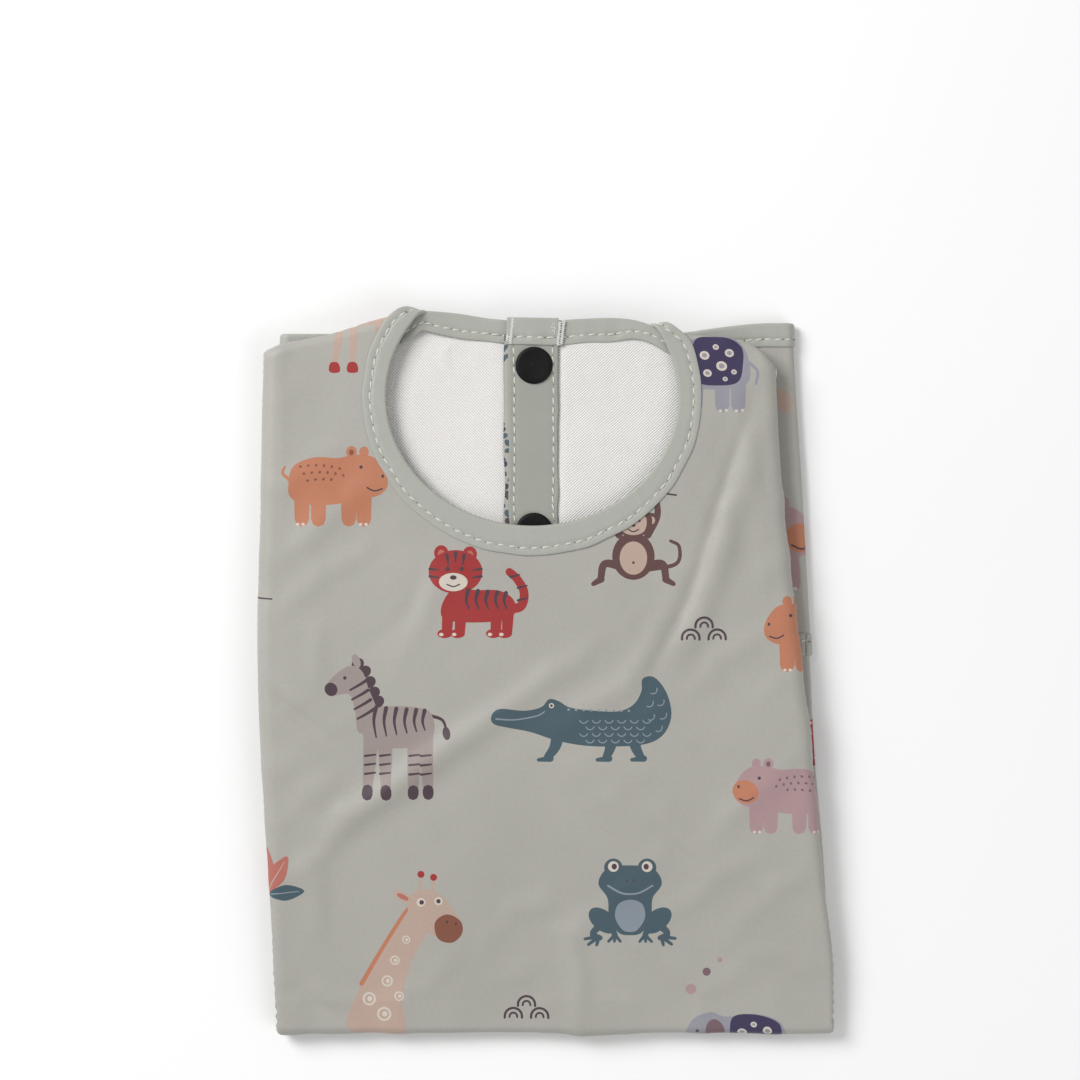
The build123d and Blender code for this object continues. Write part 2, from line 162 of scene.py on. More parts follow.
# ---------------------------------------------------------------- small maths
def through(points, x):
    """Smooth curve through (x, y) points, read at x."""
    px, py = np.array(points, float).T
    slope = np.gradient(py, px)
    i = np.clip(np.searchsorted(px, x) - 1, 0, len(px) - 2)
    h = px[i + 1] - px[i]
    t = np.clip((x - px[i]) / h, 0, 1)
    start = (1 + 2 * t) * (1 - t) ** 2 * py[i] + t * (1 - t) ** 2 * h * slope[i]
    return start + t * t * (3 - 2 * t) * py[i + 1] + t * t * (t - 1) * h * slope[i + 1]


def smoothstep(low, high, x):
    """0 at low and 1 at high, smoothly, and level beyond them; low may be the greater one."""
    t = np.clip((x - low) / (high - low), 0, 1)
    return t * t * (3 - 2 * t)


def ripple(seed, size, terms=10):
    """Smooth wandering noise over the plane, about -1 to 1, with features about size millimetres long."""
    rng = np.random.default_rng(seed)
    turn = rng.uniform(0, 2 * math.pi, terms)
    phase = rng.uniform(0, 2 * math.pi, terms)
    wave = size * rng.uniform(1.2, 3.0, terms)

    def at(x, y=0.0):
        x, y = np.asarray(x, float), np.asarray(y, float)
        total = sum(
            np.sin((x * math.cos(a) + y * math.sin(a)) * 2 * math.pi / w + p)
            for a, p, w in zip(turn, phase, wave)
        )
        return total / math.sqrt(terms)

    return at


def catmull(points, per=8, closed=False):
    """Smooth curve through points of any dimension, with per steps between neighbours."""
    p = np.array(points, float)
    if closed:
        p = np.vstack([p[-1], p, p[0], p[1]])
    else:
        p = np.vstack([2 * p[0] - p[1], p, 2 * p[-1] - p[-2]])
    t = np.linspace(0, 1, per, endpoint=False)[:, None]
    spans = []
    for a, b, c, d in zip(p, p[1:], p[2:], p[3:]):
        cubic = (3 * b - a - 3 * c + d) * t**3 + (2 * a - 5 * b + 4 * c - d) * t**2
        spans.append(0.5 * (cubic + (c - a) * t + 2 * b))
    line = np.vstack(spans)
    return line if closed else np.vstack([line, p[-2]])


def lengths(path):
    """Distance along a path to each of its points."""
    return np.concatenate([[0], np.cumsum(np.linalg.norm(np.diff(path, axis=0), axis=1))])


def read_at(at, run, line):
    """Points at the distances at along a line whose own points are at the distances run."""
    return np.column_stack([np.interp(at, run, column) for column in np.asarray(line).T])


def evenly(line, step, closed=False):
    """The same line with its points about step apart."""
    line = np.asarray(line, float)
    if closed:
        line = np.vstack([line, line[0]])
    run = lengths(line)
    count = max(3, int(round(run[-1] / step)))
    at = np.linspace(0, run[-1], count + 1)
    out = read_at(at, run, line)
    return out[:-1] if closed else out


def unit(v):
    """Vectors brought to length 1."""
    return v / np.maximum(np.linalg.norm(v, axis=-1, keepdims=True), 1e-9)


def distance_to(line, x, y):
    """Distance from points to a polyline, and how far along it (0 to 1) the nearest place is."""
    best = np.full(np.shape(x), 1e9)
    along = np.zeros(np.shape(x))
    line = np.asarray(line, float)
    for k, (a, b) in enumerate(zip(line, line[1:])):
        d = b - a
        t = np.clip(((x - a[0]) * d[0] + (y - a[1]) * d[1]) / (d @ d), 0, 1)
        gap = np.hypot(x - a[0] - t * d[0], y - a[1] - t * d[1])
        closer = gap < best
        best = np.where(closer, gap, best)
        along = np.where(closer, (k + t) / (len(line) - 1), along)
    return best, along


# ---------------------------------------------------------------- the folded cloth
def edge_x(edges, y, side):
    """x of the left (-1) or right (1) edge at y."""
    column = 1 if side < 0 else 2
    return through([(row[0], row[column]) for row in edges], y)


def grown(edges, outset):
    """The same edges, further out on both sides."""
    return [(y, left - outset, right + outset) for y, left, right in edges]


def side_fold(turn):
    """How far a side fold of half height turn reaches out, and how much cloth goes round it."""
    reach = turn * EDGE_SOFT
    return reach, math.pi * np.sqrt((turn**2 + reach**2) / 2)


def flap_radius(phi):
    """Radius of the side flaps round the bottom fold, at angle phi of it."""
    return (FLAP_Z - FOLD_Z) + phi / math.pi * ((FOLD_Z - LOWER_FLAP_Z) - (FLAP_Z - FOLD_Z))


def flat_v(y):
    """v of the cloth at height y of the lower half, behind."""
    return FOLD_Y - FOLD_ARC - (y - FOLD_Y)


def lower_y(v):
    """The other way round: where the lower half's v lies, behind."""
    return FOLD_Y + (FOLD_Y - FOLD_ARC - v)


def section(u, y, edges, turn):
    """Across the cloth at y: x of the flat distance u, and 0 to 1 from the main face to the side flap."""
    reach, arc = side_fold(turn)
    start_left = edge_x(edges, y, -1) + reach
    start_right = edge_x(edges, y, 1) - reach
    over = np.maximum(start_left - u, u - start_right)
    angle = np.clip(over / arc, 0, 1) * math.pi
    past = np.clip(over - arc, 0, None)
    bulge = reach * np.sin(angle)
    x = np.where(u < start_left, start_left - bulge + past, u)
    x = np.where(u > start_right, start_right + bulge - past, x)
    return x, (1 - np.cos(angle)) / 2


def cloth(u, v):
    """Where the middle of the cloth's thickness lies at the point (u, v) of the flat front, when folded."""
    u, v = np.asarray(u, float), np.asarray(v, float)
    main = through(FRONT_HEIGHT, v)
    x, share = section(u, v, UPPER_EDGES, (main - FLAP_Z) / 2)
    z = main + share * (FLAP_Z - main)
    y = v
    # over the shoulders
    back = np.where(x < 0, BACK_LEFT_Z + LINING_GAP, BACK_RIGHT_Z + LINING_GAP)
    turn = (FRONT_Z - back) / 2
    arc = math.pi * turn * SHOULDER_ARC
    start = through(SHOULDER_LINE, x) - turn * SHOULDER_SOFT - FABRIC / 2
    over = v - start
    angle = np.clip(over / arc, 0, 1) * math.pi
    turned = start + turn * SHOULDER_SOFT * np.sin(angle) - np.clip(over - arc, 0, None)
    y = np.where(over > 0, turned, y)
    z = np.where(over > 0, z - (1 - np.cos(angle)) * turn * (1 - share), z)
    # round the bottom fold
    phi = np.clip((FOLD_Y - v) / FOLD_R, 0, math.pi)
    flap_r = flap_radius(phi)
    bend_x, bend_share = section(u, np.full_like(v, FOLD_Y), LOWER_EDGES, (FOLD_R - flap_r) / 2)
    radius = FOLD_R + bend_share * (flap_r - FOLD_R)
    in_bend = v < FOLD_Y
    x = np.where(in_bend, bend_x, x)
    y = np.where(in_bend, FOLD_Y - radius * np.sin(phi), y)
    z = np.where(in_bend, FOLD_Z + radius * np.cos(phi), z)
    # back up behind, to the hem
    low_y = lower_y(v)
    low_x, low_share = section(u, low_y, LOWER_EDGES, np.full_like(v, (LOWER_FLAP_Z - LOWER_Z) / 2))
    in_lower = v < FOLD_Y - FOLD_ARC
    x = np.where(in_lower, low_x, x)
    y = np.where(in_lower, low_y - slant(low_x, low_y), y)
    z = np.where(in_lower, LOWER_Z + low_share * (LOWER_FLAP_Z - LOWER_Z), z)
    return np.stack([x, y, z], axis=-1)


def slant(x, y):
    """How much nearer the bottom fold the lower half lies behind, towards its hem and away from its right."""
    return 3.6 * smoothstep(76, 36, x) * smoothstep(20, HEM_Y, y)


def normals_of(place, u, v, step=0.05):
    """Unit normals of a mapped sheet, on its printed side."""
    du = place(u + step, v) - place(u - step, v)
    dv = place(u, v + step) - place(u, v - step)
    return unit(np.cross(du, dv))


# creases pressed into the folded front: points, half width, height (below zero is a valley)
CREASES = [
    ([(69, 92), (59, 62), (46.8, 24.2), (31.2, -5.6)], 2.3, -0.95),
    ([(75, 88), (65, 60), (54, 24), (38, -8)], 4.2, 0.75),
    ([(52, 92), (47, 76), (38, 62)], 2.4, -0.5),
    ([(-96, -2), (-84, -13), (-72, -22)], 2.4, -0.8),
    ([(-91.6, -58.8), (-52, -38), (-15.3, -9)], 6.0, 0.7),
    ([(9.6, -88), (10.4, -104), (9.8, -120)], 3.0, 0.6),
    ([(-82, -106), (-75, -112), (-66, -116)], 3.0, -0.8),
    ([(37.8, -52), (44, -59), (51, -65)], 2.2, -0.7),
    ([(88, -20), (70, -36), (56, -60), (52, -90)], 7.0, 0.6),
    ([(-60, 92), (-74, 60), (-80, 20)], 7.0, 0.5),
    ([(60, 100), (70, 60), (74, 24)], 4.0, 0.4),
    ([(-40, 40), (-46, 20), (-66, 4)], 3.5, -0.35),
]
slow_swell = ripple(11, 34)
small_swell = ripple(12, 11)
GRID = 4.0  # spacing of the grid that the front is settled on
SETTLE_LOW, SETTLE_HIGH = np.array([-92.0, -114.0]), np.array([92.0, 118.0])
SETTLE_SCALE = 10.0  # the cloth is simulated this much too large, where Blender's cloth settings hold
SETTLE_FRAMES = 40
CREASE_SHARE = 0.9  # how much of the drawn creases goes into the start of the simulation, and on top of it


def creases(u, v):
    """Height of the pressed-in creases."""
    h = 0.0 * u
    for points, width, height in CREASES:
        gap, along = distance_to(catmull(points, 6), u, v)
        fade = np.sin(np.clip(along, 0.03, 0.97) * math.pi) ** 0.7
        h = h + height * fade * (np.exp(-((gap / width) ** 2)) - 0.35 * np.exp(-((gap / width / 2.2) ** 2)))
    return h


def settle():
    """Heights of a slightly too large cloth that settles on the pack below, held at its folds."""
    size = SETTLE_SCALE * MM
    xs = np.arange(SETTLE_LOW[0], SETTLE_HIGH[0] + 0.1, GRID)
    ys = np.arange(SETTLE_LOW[1], SETTLE_HIGH[1] + 0.1, GRID)
    gx, gy = np.meshgrid(xs, ys)
    start = CREASE_SHARE * creases(gx, gy) + 0.5 * slow_swell(gx, gy * 0.7) + 0.2 * small_swell(gx, gy)
    verts = np.column_stack([gx.ravel(), gy.ravel(), start.ravel() + 0.6]) * size
    w = len(xs)
    quads = [(k, k + 1, k + 1 + w, k + w) for j in range(len(ys) - 1) for k in range(j * w, j * w + w - 1)]

    def temporary(name, points, faces):
        mesh = bpy.data.meshes.new(name)
        mesh.from_pydata(points.tolist(), [], faces)
        obj = bpy.data.objects.new(name, mesh)
        bpy.context.scene.collection.objects.link(obj)
        return obj

    sheet = temporary("settling_cloth", verts, quads)
    below = verts.copy()
    below[:, 2] = (0.35 * slow_swell(gx * 0.9 + 40, gy * 0.8).ravel() - 0.5) * size
    bed = temporary("settling_bed", below, quads)
    pins = sheet.vertex_groups.new(name="pins")
    edge = (gx < xs[1]) | (gx > xs[-2]) | (gy < ys[1])
    edge |= np.hypot((gx - NECK_X) / (NECK_INNER[0] + 10), (gy - NECK_Y) / (NECK_INNER[1] + 12)) < 1
    pins.add([int(k) for k in np.nonzero(edge.ravel())[0]], 1.0, "REPLACE")
    bed.modifiers.new("collide", "COLLISION")
    bed.collision.thickness_outer = 0.002
    bed.collision.cloth_friction = 12
    cloth_modifier = sheet.modifiers.new("cloth", "CLOTH")
    settings = cloth_modifier.settings
    settings.quality = 6
    settings.mass = 0.25
    settings.tension_stiffness = settings.compression_stiffness = 25
    settings.shear_stiffness = 12
    settings.bending_stiffness = 1.6
    settings.air_damping = 3
    settings.vertex_group_mass = "pins"
    settings.shrink_min = -0.006
    cloth_modifier.collision_settings.distance_min = 0.003
    cloth_modifier.point_cache.frame_start, cloth_modifier.point_cache.frame_end = 1, SETTLE_FRAMES
    scene = bpy.context.scene
    for frame_number in range(1, SETTLE_FRAMES + 1):
        scene.frame_set(frame_number)
    settled = sheet.evaluated_get(bpy.context.evaluated_depsgraph_get())
    height = np.array([v.co.z for v in settled.data.vertices]) / size
    scene.frame_set(1)
    for obj in (sheet, bed):
        mesh = obj.data
        bpy.data.objects.remove(obj)
        bpy.data.meshes.remove(mesh)
    height = height.reshape(gx.shape)
    return height - np.median(height)


settled_heights = settle()


def settled(u, v):
    """The settled heights between the grid's points, smoothly."""
    if settled_heights is None:
        return 0.0 * u
    rows, cols = settled_heights.shape
    fx = np.clip((u - SETTLE_LOW[0]) / GRID, 1, cols - 2.001)
    fy = np.clip((v - SETTLE_LOW[1]) / GRID, 1, rows - 2.001)
    i, j = fx.astype(int), fy.astype(int)

    def weights(t):
        before, after = 3 * t**3 - 6 * t**2 + 4, -3 * t**3 + 3 * t**2 + 3 * t + 1
        return (1 - t) ** 3 / 6, before / 6, after / 6, t**3 / 6

    wx, wy = weights(fx - i), weights(fy - j)
    total = 0.0 * u
    for a in range(4):
        for b in range(4):
            near = settled_heights[np.clip(j + b - 1, 0, rows - 1), np.clip(i + a - 1, 0, cols - 1)]
            total = total + wx[a] * wy[b] * near
    return total


def relief(u, v):
    """How far the front stands off its pressed shape, in millimetres, along its normal."""
    u, v = np.asarray(u, float), np.asarray(v, float)
    held = smoothstep(-FOLD_ARC, 10, v - FOLD_Y + FOLD_ARC)
    held = held * smoothstep(-104, -82, u) * smoothstep(104, 82, u)
    ring = np.hypot((u - NECK_X) / (NECK_INNER[0] + 9), (v - NECK_Y) / (NECK_INNER[1] + 11))
    near_neck = smoothstep(1.0, 1.25, ring)
    h = settled(u, v) + CREASE_SHARE * creases(u, v)
    h = h + 0.28 * slow_swell(u, v * 0.7) + 0.05 * small_swell(u, v)
    upper = np.clip(h, -0.9, 2.2) * held * (0.15 + 0.85 * near_neck)
    behind = smoothstep(6, 24, FOLD_Y - FOLD_ARC - v) * smoothstep(flat_v(HEM_Y - 2), flat_v(HEM_Y - 16), v)
    return upper - behind * (0.12 + 0.2 * smoothstep(flat_v(0), flat_v(-14), v)) * slow_swell(u, v)


def front_cloth(u, v):
    """The folded cloth with its creases."""
    base = cloth(u, v)
    out = normals_of(cloth, u, v)
    return base + out * relief(u, v)[..., None]


# ---------------------------------------------------------------- materials
STUDIO_LIGHT = 1.2  # how much brighter than its own colour the studio makes a surface look


def srgb(red, green, blue):
    """Surface colour that looks like an sRGB colour, 0 to 255, in the studio's light."""
    c = np.array([red, green, blue]) / 255
    return (*(np.where(c <= 0.04045, c / 12.92, ((c + 0.055) / 1.055) ** 2.4) / STUDIO_LIGHT), 1.0)


class Nodes:
    """Short-hand for building a material's node tree."""

    def __init__(self, name):
        self.material = bpy.data.materials.new(name)
        self.material.use_nodes = True
        self.tree = self.material.node_tree
        self.shader = self.tree.nodes["Principled BSDF"]

    def add(self, kind, settings=None, **inputs):
        node = self.tree.nodes.new(kind)
        for key, value in (settings or {}).items():
            setattr(node, key, value)
        for key, value in inputs.items():
            self.feed(node.inputs[key.replace("_", " ")], value)
        return node

    def feed(self, socket, value):
        if isinstance(value, bpy.types.NodeSocket):
            self.tree.links.new(value, socket)
        else:
            socket.default_value = value

    def flat(self, scale=(1, 1, 1), turn=0.0):
        """The flat pattern's coordinates, in units of UV_UNIT."""
        uv = self.add("ShaderNodeUVMap", {"uv_map": "flat"})
        mapping = self.add("ShaderNodeMapping", Vector=uv.outputs["UV"])
        mapping.inputs["Scale"].default_value = scale
        mapping.inputs["Rotation"].default_value = (0, 0, turn)
        return mapping.outputs["Vector"]

    def noise(self, size_mm, detail=2.0, vector=None):
        return self.add(
            "ShaderNodeTexNoise",
            Vector=vector or self.flat(),
            Scale=UV_UNIT / size_mm,
            Detail=detail,
            Roughness=0.55,
        ).outputs["Fac"]

    def waves(self, pitch_mm, turn, distortion=0.0, profile="SIN"):
        wave = self.add(
            "ShaderNodeTexWave",
            {"wave_type": "BANDS", "bands_direction": "X", "wave_profile": profile},
            Vector=self.flat(turn=turn),
            Scale=0.314 * UV_UNIT / pitch_mm,
            Distortion=distortion,
            Detail=1.0,
        )
        wave.inputs["Detail Scale"].default_value = 1.5
        return wave.outputs["Fac"]

    def ramp(self, value, low, high, at=(0.0, 1.0)):
        """Spread value over low to high; both are numbers or both are colours."""
        if isinstance(low, tuple):
            node = self.add("ShaderNodeValToRGB", Fac=value)
            node.color_ramp.elements[0].position, node.color_ramp.elements[1].position = at
            node.color_ramp.elements[0].color, node.color_ramp.elements[1].color = low, high
            return node.outputs["Color"]
        node = self.add("ShaderNodeMapRange", Value=value)
        for key, number in zip(("From Min", "From Max", "To Min", "To Max"), (*at, low, high)):
            node.inputs[key].default_value = number
        return node.outputs["Result"]

    def math(self, operation, a, b):
        node = self.add("ShaderNodeMath", {"operation": operation})
        self.feed(node.inputs[0], a)
        self.feed(node.inputs[1], b)
        return node.outputs["Value"]

    def bump(self, height, strength, depth_mm, under=None):
        node = self.add("ShaderNodeBump", Height=height, Strength=strength, Distance=depth_mm * MM)
        if under is not None:
            self.feed(node.inputs["Normal"], under)
        return node.outputs["Normal"]

    def set(self, **values):
        for key, value in values.items():
            self.feed(self.shader.inputs[key.replace("_", " ")], value)
        return self.material


def shade(colour, amount):
    """A colour made darker or lighter."""
    return (*(min(1.0, c * amount) for c in colour[:3]), 1.0)


def coated(name, colour, mottle=0.045, rough=0.5):
    """Coated fabric: smooth, with a faint grain from the knit below, in one printed colour."""
    n = Nodes(name)
    cloudy = n.math("MULTIPLY_ADD", n.noise(1.3, 4.0), 0.45)
    n.feed(cloudy.node.inputs[2], n.math("MULTIPLY", n.noise(45.0, 2.0), 0.55))
    tint = n.ramp(cloudy, shade(colour, 1 - mottle), shade(colour, 1 + mottle), (0.34, 0.66))
    grain = n.bump(n.noise(0.9, 3.0), 0.35, 0.05)
    knit = n.bump(n.waves(0.8, 0.6, 1.5), 0.12, 0.03, grain)
    return n.set(
        Base_Color=tint,
        Roughness=n.ramp(n.noise(12.0, 3.0), rough - 0.05, rough + 0.07, (0.3, 0.7)),
        Specular_IOR_Level=0.35,
        Sheen_Weight=0.08,
        Sheen_Roughness=0.5,
        Normal=knit,
    )


def twill(name, colour, turn):
    """Lining: fine twill, with its slanting ribs and a little slub in the yarn."""
    n = Nodes(name)
    ribs = n.waves(0.7, math.radians(turn), 0.9)
    picks = n.waves(0.55, math.radians(turn - 86), 1.0)
    yarn = n.math("MULTIPLY", ribs, n.ramp(picks, 0.72, 1.0))
    slub = n.ramp(n.noise(2.2, 3.0), 0.9, 1.05, (0.3, 0.7))
    tint = n.ramp(n.math("MULTIPLY", yarn, slub), shade(colour, 0.68), shade(colour, 1.05), (0.03, 0.38))
    raised = n.bump(yarn, 0.7, 0.2)
    return n.set(
        Base_Color=tint,
        Roughness=n.ramp(yarn, 0.92, 0.8),
        Specular_IOR_Level=0.2,
        Sheen_Weight=0.15,
        Normal=n.bump(n.noise(0.5, 2.0), 0.25, 0.05, raised),
    )


def thread(name, colour):
    """Sewing thread, twisted."""
    n = Nodes(name)
    twist = n.waves(0.35, math.radians(38))
    return n.set(
        Base_Color=n.ramp(twist, shade(colour, 0.78), shade(colour, 1.08)),
        Roughness=n.ramp(twist, 0.65, 0.5),
        Sheen_Weight=0.2,
        Normal=n.bump(twist, 0.5, 0.08),
    )


def snap_plastic():
    """Matte black moulded plastic."""
    n = Nodes("snap_black")
    uv = n.add("ShaderNodeTexCoord").outputs["Object"]
    grain = n.add("ShaderNodeTexNoise", Vector=uv, Scale=2600.0, Detail=3.0).outputs["Fac"]
    smudge = n.add("ShaderNodeTexNoise", Vector=uv, Scale=240.0, Detail=2.0).outputs["Fac"]
    return n.set(
        Base_Color=n.ramp(smudge, srgb(9, 9, 10), srgb(14, 14, 15), (0.3, 0.7)),
        Roughness=n.ramp(smudge, 0.46, 0.58, (0.3, 0.7)),
        Specular_IOR_Level=0.2,
        Normal=n.bump(grain, 0.35, 0.03),
    )


SAGE = srgb(177, 175, 167)
INKS = {
    "sage": SAGE,
    "stone": srgb(160, 147, 143),
    "dark": srgb(78, 62, 70),
    "teal": srgb(72, 92, 102),
    "mist": srgb(140, 150, 160),
    "orange": srgb(192, 126, 96),
    "rust": srgb(136, 84, 66),
    "pink": srgb(176, 146, 148),
    "mauve": srgb(122, 96, 104),
    "brown": srgb(98, 70, 68),
    "tan": srgb(190, 166, 152),
    "red": srgb(164, 52, 52),
    "coral": srgb(184, 112, 100),
    "lilac": srgb(152, 150, 160),
    "plum": srgb(62, 54, 88),
    "cream": srgb(214, 204, 192),
}
fabric_inks = {name: coated(f"print_{name}", colour) for name, colour in INKS.items()}
INK_ORDER = list(INKS)
lining = twill("lining_twill", srgb(248, 245, 242), 44)
right_lining = twill("lining_twill_right", srgb(245, 243, 240), -48)
binding_fabric = coated("binding_fabric", srgb(176, 177, 169), 0.04, 0.46)
placket_fabric = coated("placket_fabric", srgb(163, 165, 156), 0.04, 0.48)
stitch_thread = thread("stitch_thread", srgb(234, 233, 220))
# dark thread colour for the capsules that paint the shade inside the needle holes
needle_hole_shade = thread("needle_hole_shade", srgb(126, 128, 118))
white_thread = thread("bartack_thread", srgb(236, 236, 232))
label_fabric = thread("label_satin", srgb(236, 235, 238))
snap_black = snap_plastic()


# ---------------------------------------------------------------- making meshes
def make_object(name, verts, faces, materials, indices=None, uvs=None, normals=None, smooth=True):
    """A mesh object from millimetre points; uvs and normals are given for each corner."""
    mesh = bpy.data.meshes.new(name)
    mesh.from_pydata((np.asarray(verts) * MM).tolist(), [], [list(map(int, f)) for f in faces])
    for m in materials:
        mesh.materials.append(m)
    if indices is not None:
        mesh.polygons.foreach_set("material_index", np.asarray(indices, np.int32))
    if uvs is not None:
        layer = mesh.uv_layers.new(name="flat")
        layer.data.foreach_set("uv", (np.asarray(uvs, np.float32) / UV_UNIT).ravel())
    mesh.polygons.foreach_set("use_smooth", np.full(len(mesh.polygons), smooth))
    if normals is not None:
        mesh.normals_split_custom_set(np.asarray(normals, float).tolist())
    mesh.update()
    obj = bpy.data.objects.new(name, mesh)
    bpy.context.scene.collection.objects.link(obj)
    return obj


def lattice(low, high, spacing):
    """Points of a triangular lattice over a box."""
    rows = []
    for k, y in enumerate(np.arange(low[1], high[1], spacing * 0.866)):
        xs = np.arange(low[0] + (k % 2) * spacing / 2, high[0], spacing)
        rows.append(np.column_stack([xs, np.full(len(xs), y)]))
    return np.vstack(rows)


def inside(points, loop):
    """Which points lie within a closed loop, however it crosses itself."""
    found = np.zeros(len(points), bool)
    low, high = loop.min(0), loop.max(0)
    near = np.nonzero(((points > low) & (points < high)).all(1))[0]
    for part in np.array_split(near, max(1, len(near) // 4000)):
        x, y = points[part, 0][:, None], points[part, 1][:, None]
        x0, y0 = loop.T
        x1, y1 = np.roll(loop, -1, 0).T
        left = (x1 - x0) * (y - y0) - (x - x0) * (y1 - y0)
        turns = ((y0 <= y) & (y1 > y) & (left > 0)).sum(1) - ((y0 > y) & (y1 <= y) & (left < 0)).sum(1)
        found[part] = turns != 0
    return found


def triangulate(outline, shapes, spacing, holes=(), bends=()):
    """Triangles of a flat panel, with each (ink, loop) of shapes cut into it: points, faces and inks.

    bends are (low u, high u, spacing) where it is divided more finely."""
    step = min(spacing * 0.7, 1.2)
    border = evenly(outline, step, True)
    gaps = [evenly(h, step, True) for h in holes]
    low, high = border.min(0), border.max(0)
    drawn = [
        (ink, loop) for ink, loop in shapes if (loop.max(0) > low).all() and (loop.min(0) < high).all()
    ]
    loops = [border, *gaps, *(loop for _, loop in drawn)]
    bounds = np.vstack(loops)
    tree = kdtree.KDTree(len(bounds))
    for k, p in enumerate(bounds):
        tree.insert((p[0], p[1], 0), k)
    tree.balance()
    grid = lattice(low, high, spacing)
    room = np.full(len(grid), spacing * 0.5)
    for u0, u1, fine in bends:
        outside = (grid[:, 0] < u0) | (grid[:, 0] > u1)
        added = lattice((u0, low[1]), (u1, high[1]), fine)
        grid = np.vstack([grid[outside], added])
        room = np.concatenate([room[outside], np.full(len(added), fine * 0.5)])
    within = inside(grid, border)
    grid, room = grid[within], room[within]
    clear = [tree.find((p[0], p[1], 0))[2] > r for p, r in zip(grid, room)]
    points = np.vstack([bounds, grid[clear]])
    edges, start = [], 0
    for loop in loops:
        edges += [(start + k, start + (k + 1) % len(loop)) for k in range(len(loop))]
        start += len(loop)
    made = geometry.delaunay_2d_cdt([Vector(p) for p in points], edges, [], 0, 1e-4, False)
    verts = np.array([(p[0], p[1]) for p in made[0]])
    triangles = np.array(made[2])
    middles = verts[triangles].mean(1)
    kept = inside(middles, border)
    for gap in gaps:
        kept &= ~inside(middles, gap)
    triangles, middles = triangles[kept], middles[kept]
    inks = np.full(len(triangles), INK_ORDER.index("sage"))
    for ink, loop in drawn:
        inks[inside(middles, loop)] = INK_ORDER.index(ink)
    used = np.unique(triangles)
    renumber = np.full(len(verts), -1)
    renumber[used] = np.arange(len(used))
    return verts[used], renumber[triangles], inks


def panel(name, outline, place, shapes=(), spacing=1.6, holes=(), thickness=FABRIC, bends=()):
    """A cloth panel: flat outline, its place in space, and what is printed on its outer side."""
    flat, triangles, inks = triangulate(np.asarray(outline, float), shapes, spacing, holes, bends)
    u, v = flat.T
    return shell(name, flat, triangles, inks, place(u, v), normals_of(place, u, v), thickness)


def shell(name, flat, triangles, inks, middle, out, thickness):
    """Gives a triangulated sheet its thickness: the printed side, the lining side and the cut edge."""
    count = len(middle)
    verts = np.vstack([middle + out * thickness / 2, middle - out * thickness / 2])
    a, b, c = (flat[triangles[:, k]] for k in range(3))
    area = ((b - a)[:, 0] * (c - a)[:, 1] - (b - a)[:, 1] * (c - a)[:, 0]) / 2
    triangles = np.where(area[:, None] < 0, triangles[:, ::-1], triangles)
    pairs = np.vstack([triangles[:, [0, 1]], triangles[:, [1, 2]], triangles[:, [2, 0]]])
    keys = {tuple(p) for p in pairs.tolist()}
    rim = sorted((a, b) for a, b in keys if (b, a) not in keys)
    faces = triangles.tolist() + (triangles[:, ::-1] + count).tolist()
    faces += [[b, a, a + count, b + count] for a, b in rim]
    order = sorted(set(inks.tolist()))
    materials = [fabric_inks[INK_ORDER[i]] for i in order] + [lining]
    indices = [*np.searchsorted(order, inks), *([len(order)] * len(triangles)), *([0] * len(rim))]
    corners = [corner for face in faces for corner in face]
    uvs = np.vstack([flat, flat])[corners]
    normals = np.vstack([out, -out])[corners]
    normals[6 * len(triangles) :] = 0
    obj = make_object(name, verts, faces, materials, indices, uvs, normals)
    return obj


def finish_piece(obj, where, slot_name, *nodes):
    if isinstance(where, str):
        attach(obj, where)
    else:
        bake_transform(obj)
    if nodes:
        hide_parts(*nodes)
    return obj


# ---------------------------------------------------------------- bindings and stitches
def frames(path, lateral):
    """Directions across a path and up from it, square to it, at each of its points."""
    tangent = unit(np.gradient(path, axis=0))
    side = unit(lateral - (lateral * tangent).sum(1, keepdims=True) * tangent)
    return side, np.cross(tangent, side)


def band_height(across, width, thick, seams, puff, both):
    """Half thickness of a folded strip at a distance from its edge; both says its far edge is folded too."""
    edge_r = thick / 2
    rolled = np.sqrt(np.clip(1 - (1 - np.clip(across / edge_r, 0, 1)) ** 2, 0, 1))
    left = np.clip((width - across) / (edge_r if both else 0.5), 0, 1)
    ended = np.sqrt(np.clip(1 - (1 - left) ** 2, 0, 1))
    ended = ended if both else 0.68 + 0.32 * ended
    dent = sum(0.34 * np.exp(-(((across - seam) / 0.75) ** 2)) for seam in seams)
    swell = 0.08 * np.sin(np.clip(across / width, 0, 1) * math.pi)
    return edge_r * rolled * ended * (1 + swell + puff - dent)


STITCH_PITCH, STITCH_LENGTH, STITCH_RADIUS = 3.3, 2.35, 0.27
HOLE_SHADE_SIZE, HOLE_SHADE_DEPTH = (0.55, 0.28, 0.2), 0.15  # of the dark capsule after each stitch, which paints the shade in its needle hole
SEAM_INSET = 2.6  # from a binding's inner edge to its seam
BINDING_WIDTH, HEM_WIDTH = 7.5, 8.0  # of the side edges and the pocket's mouth, and of the hem


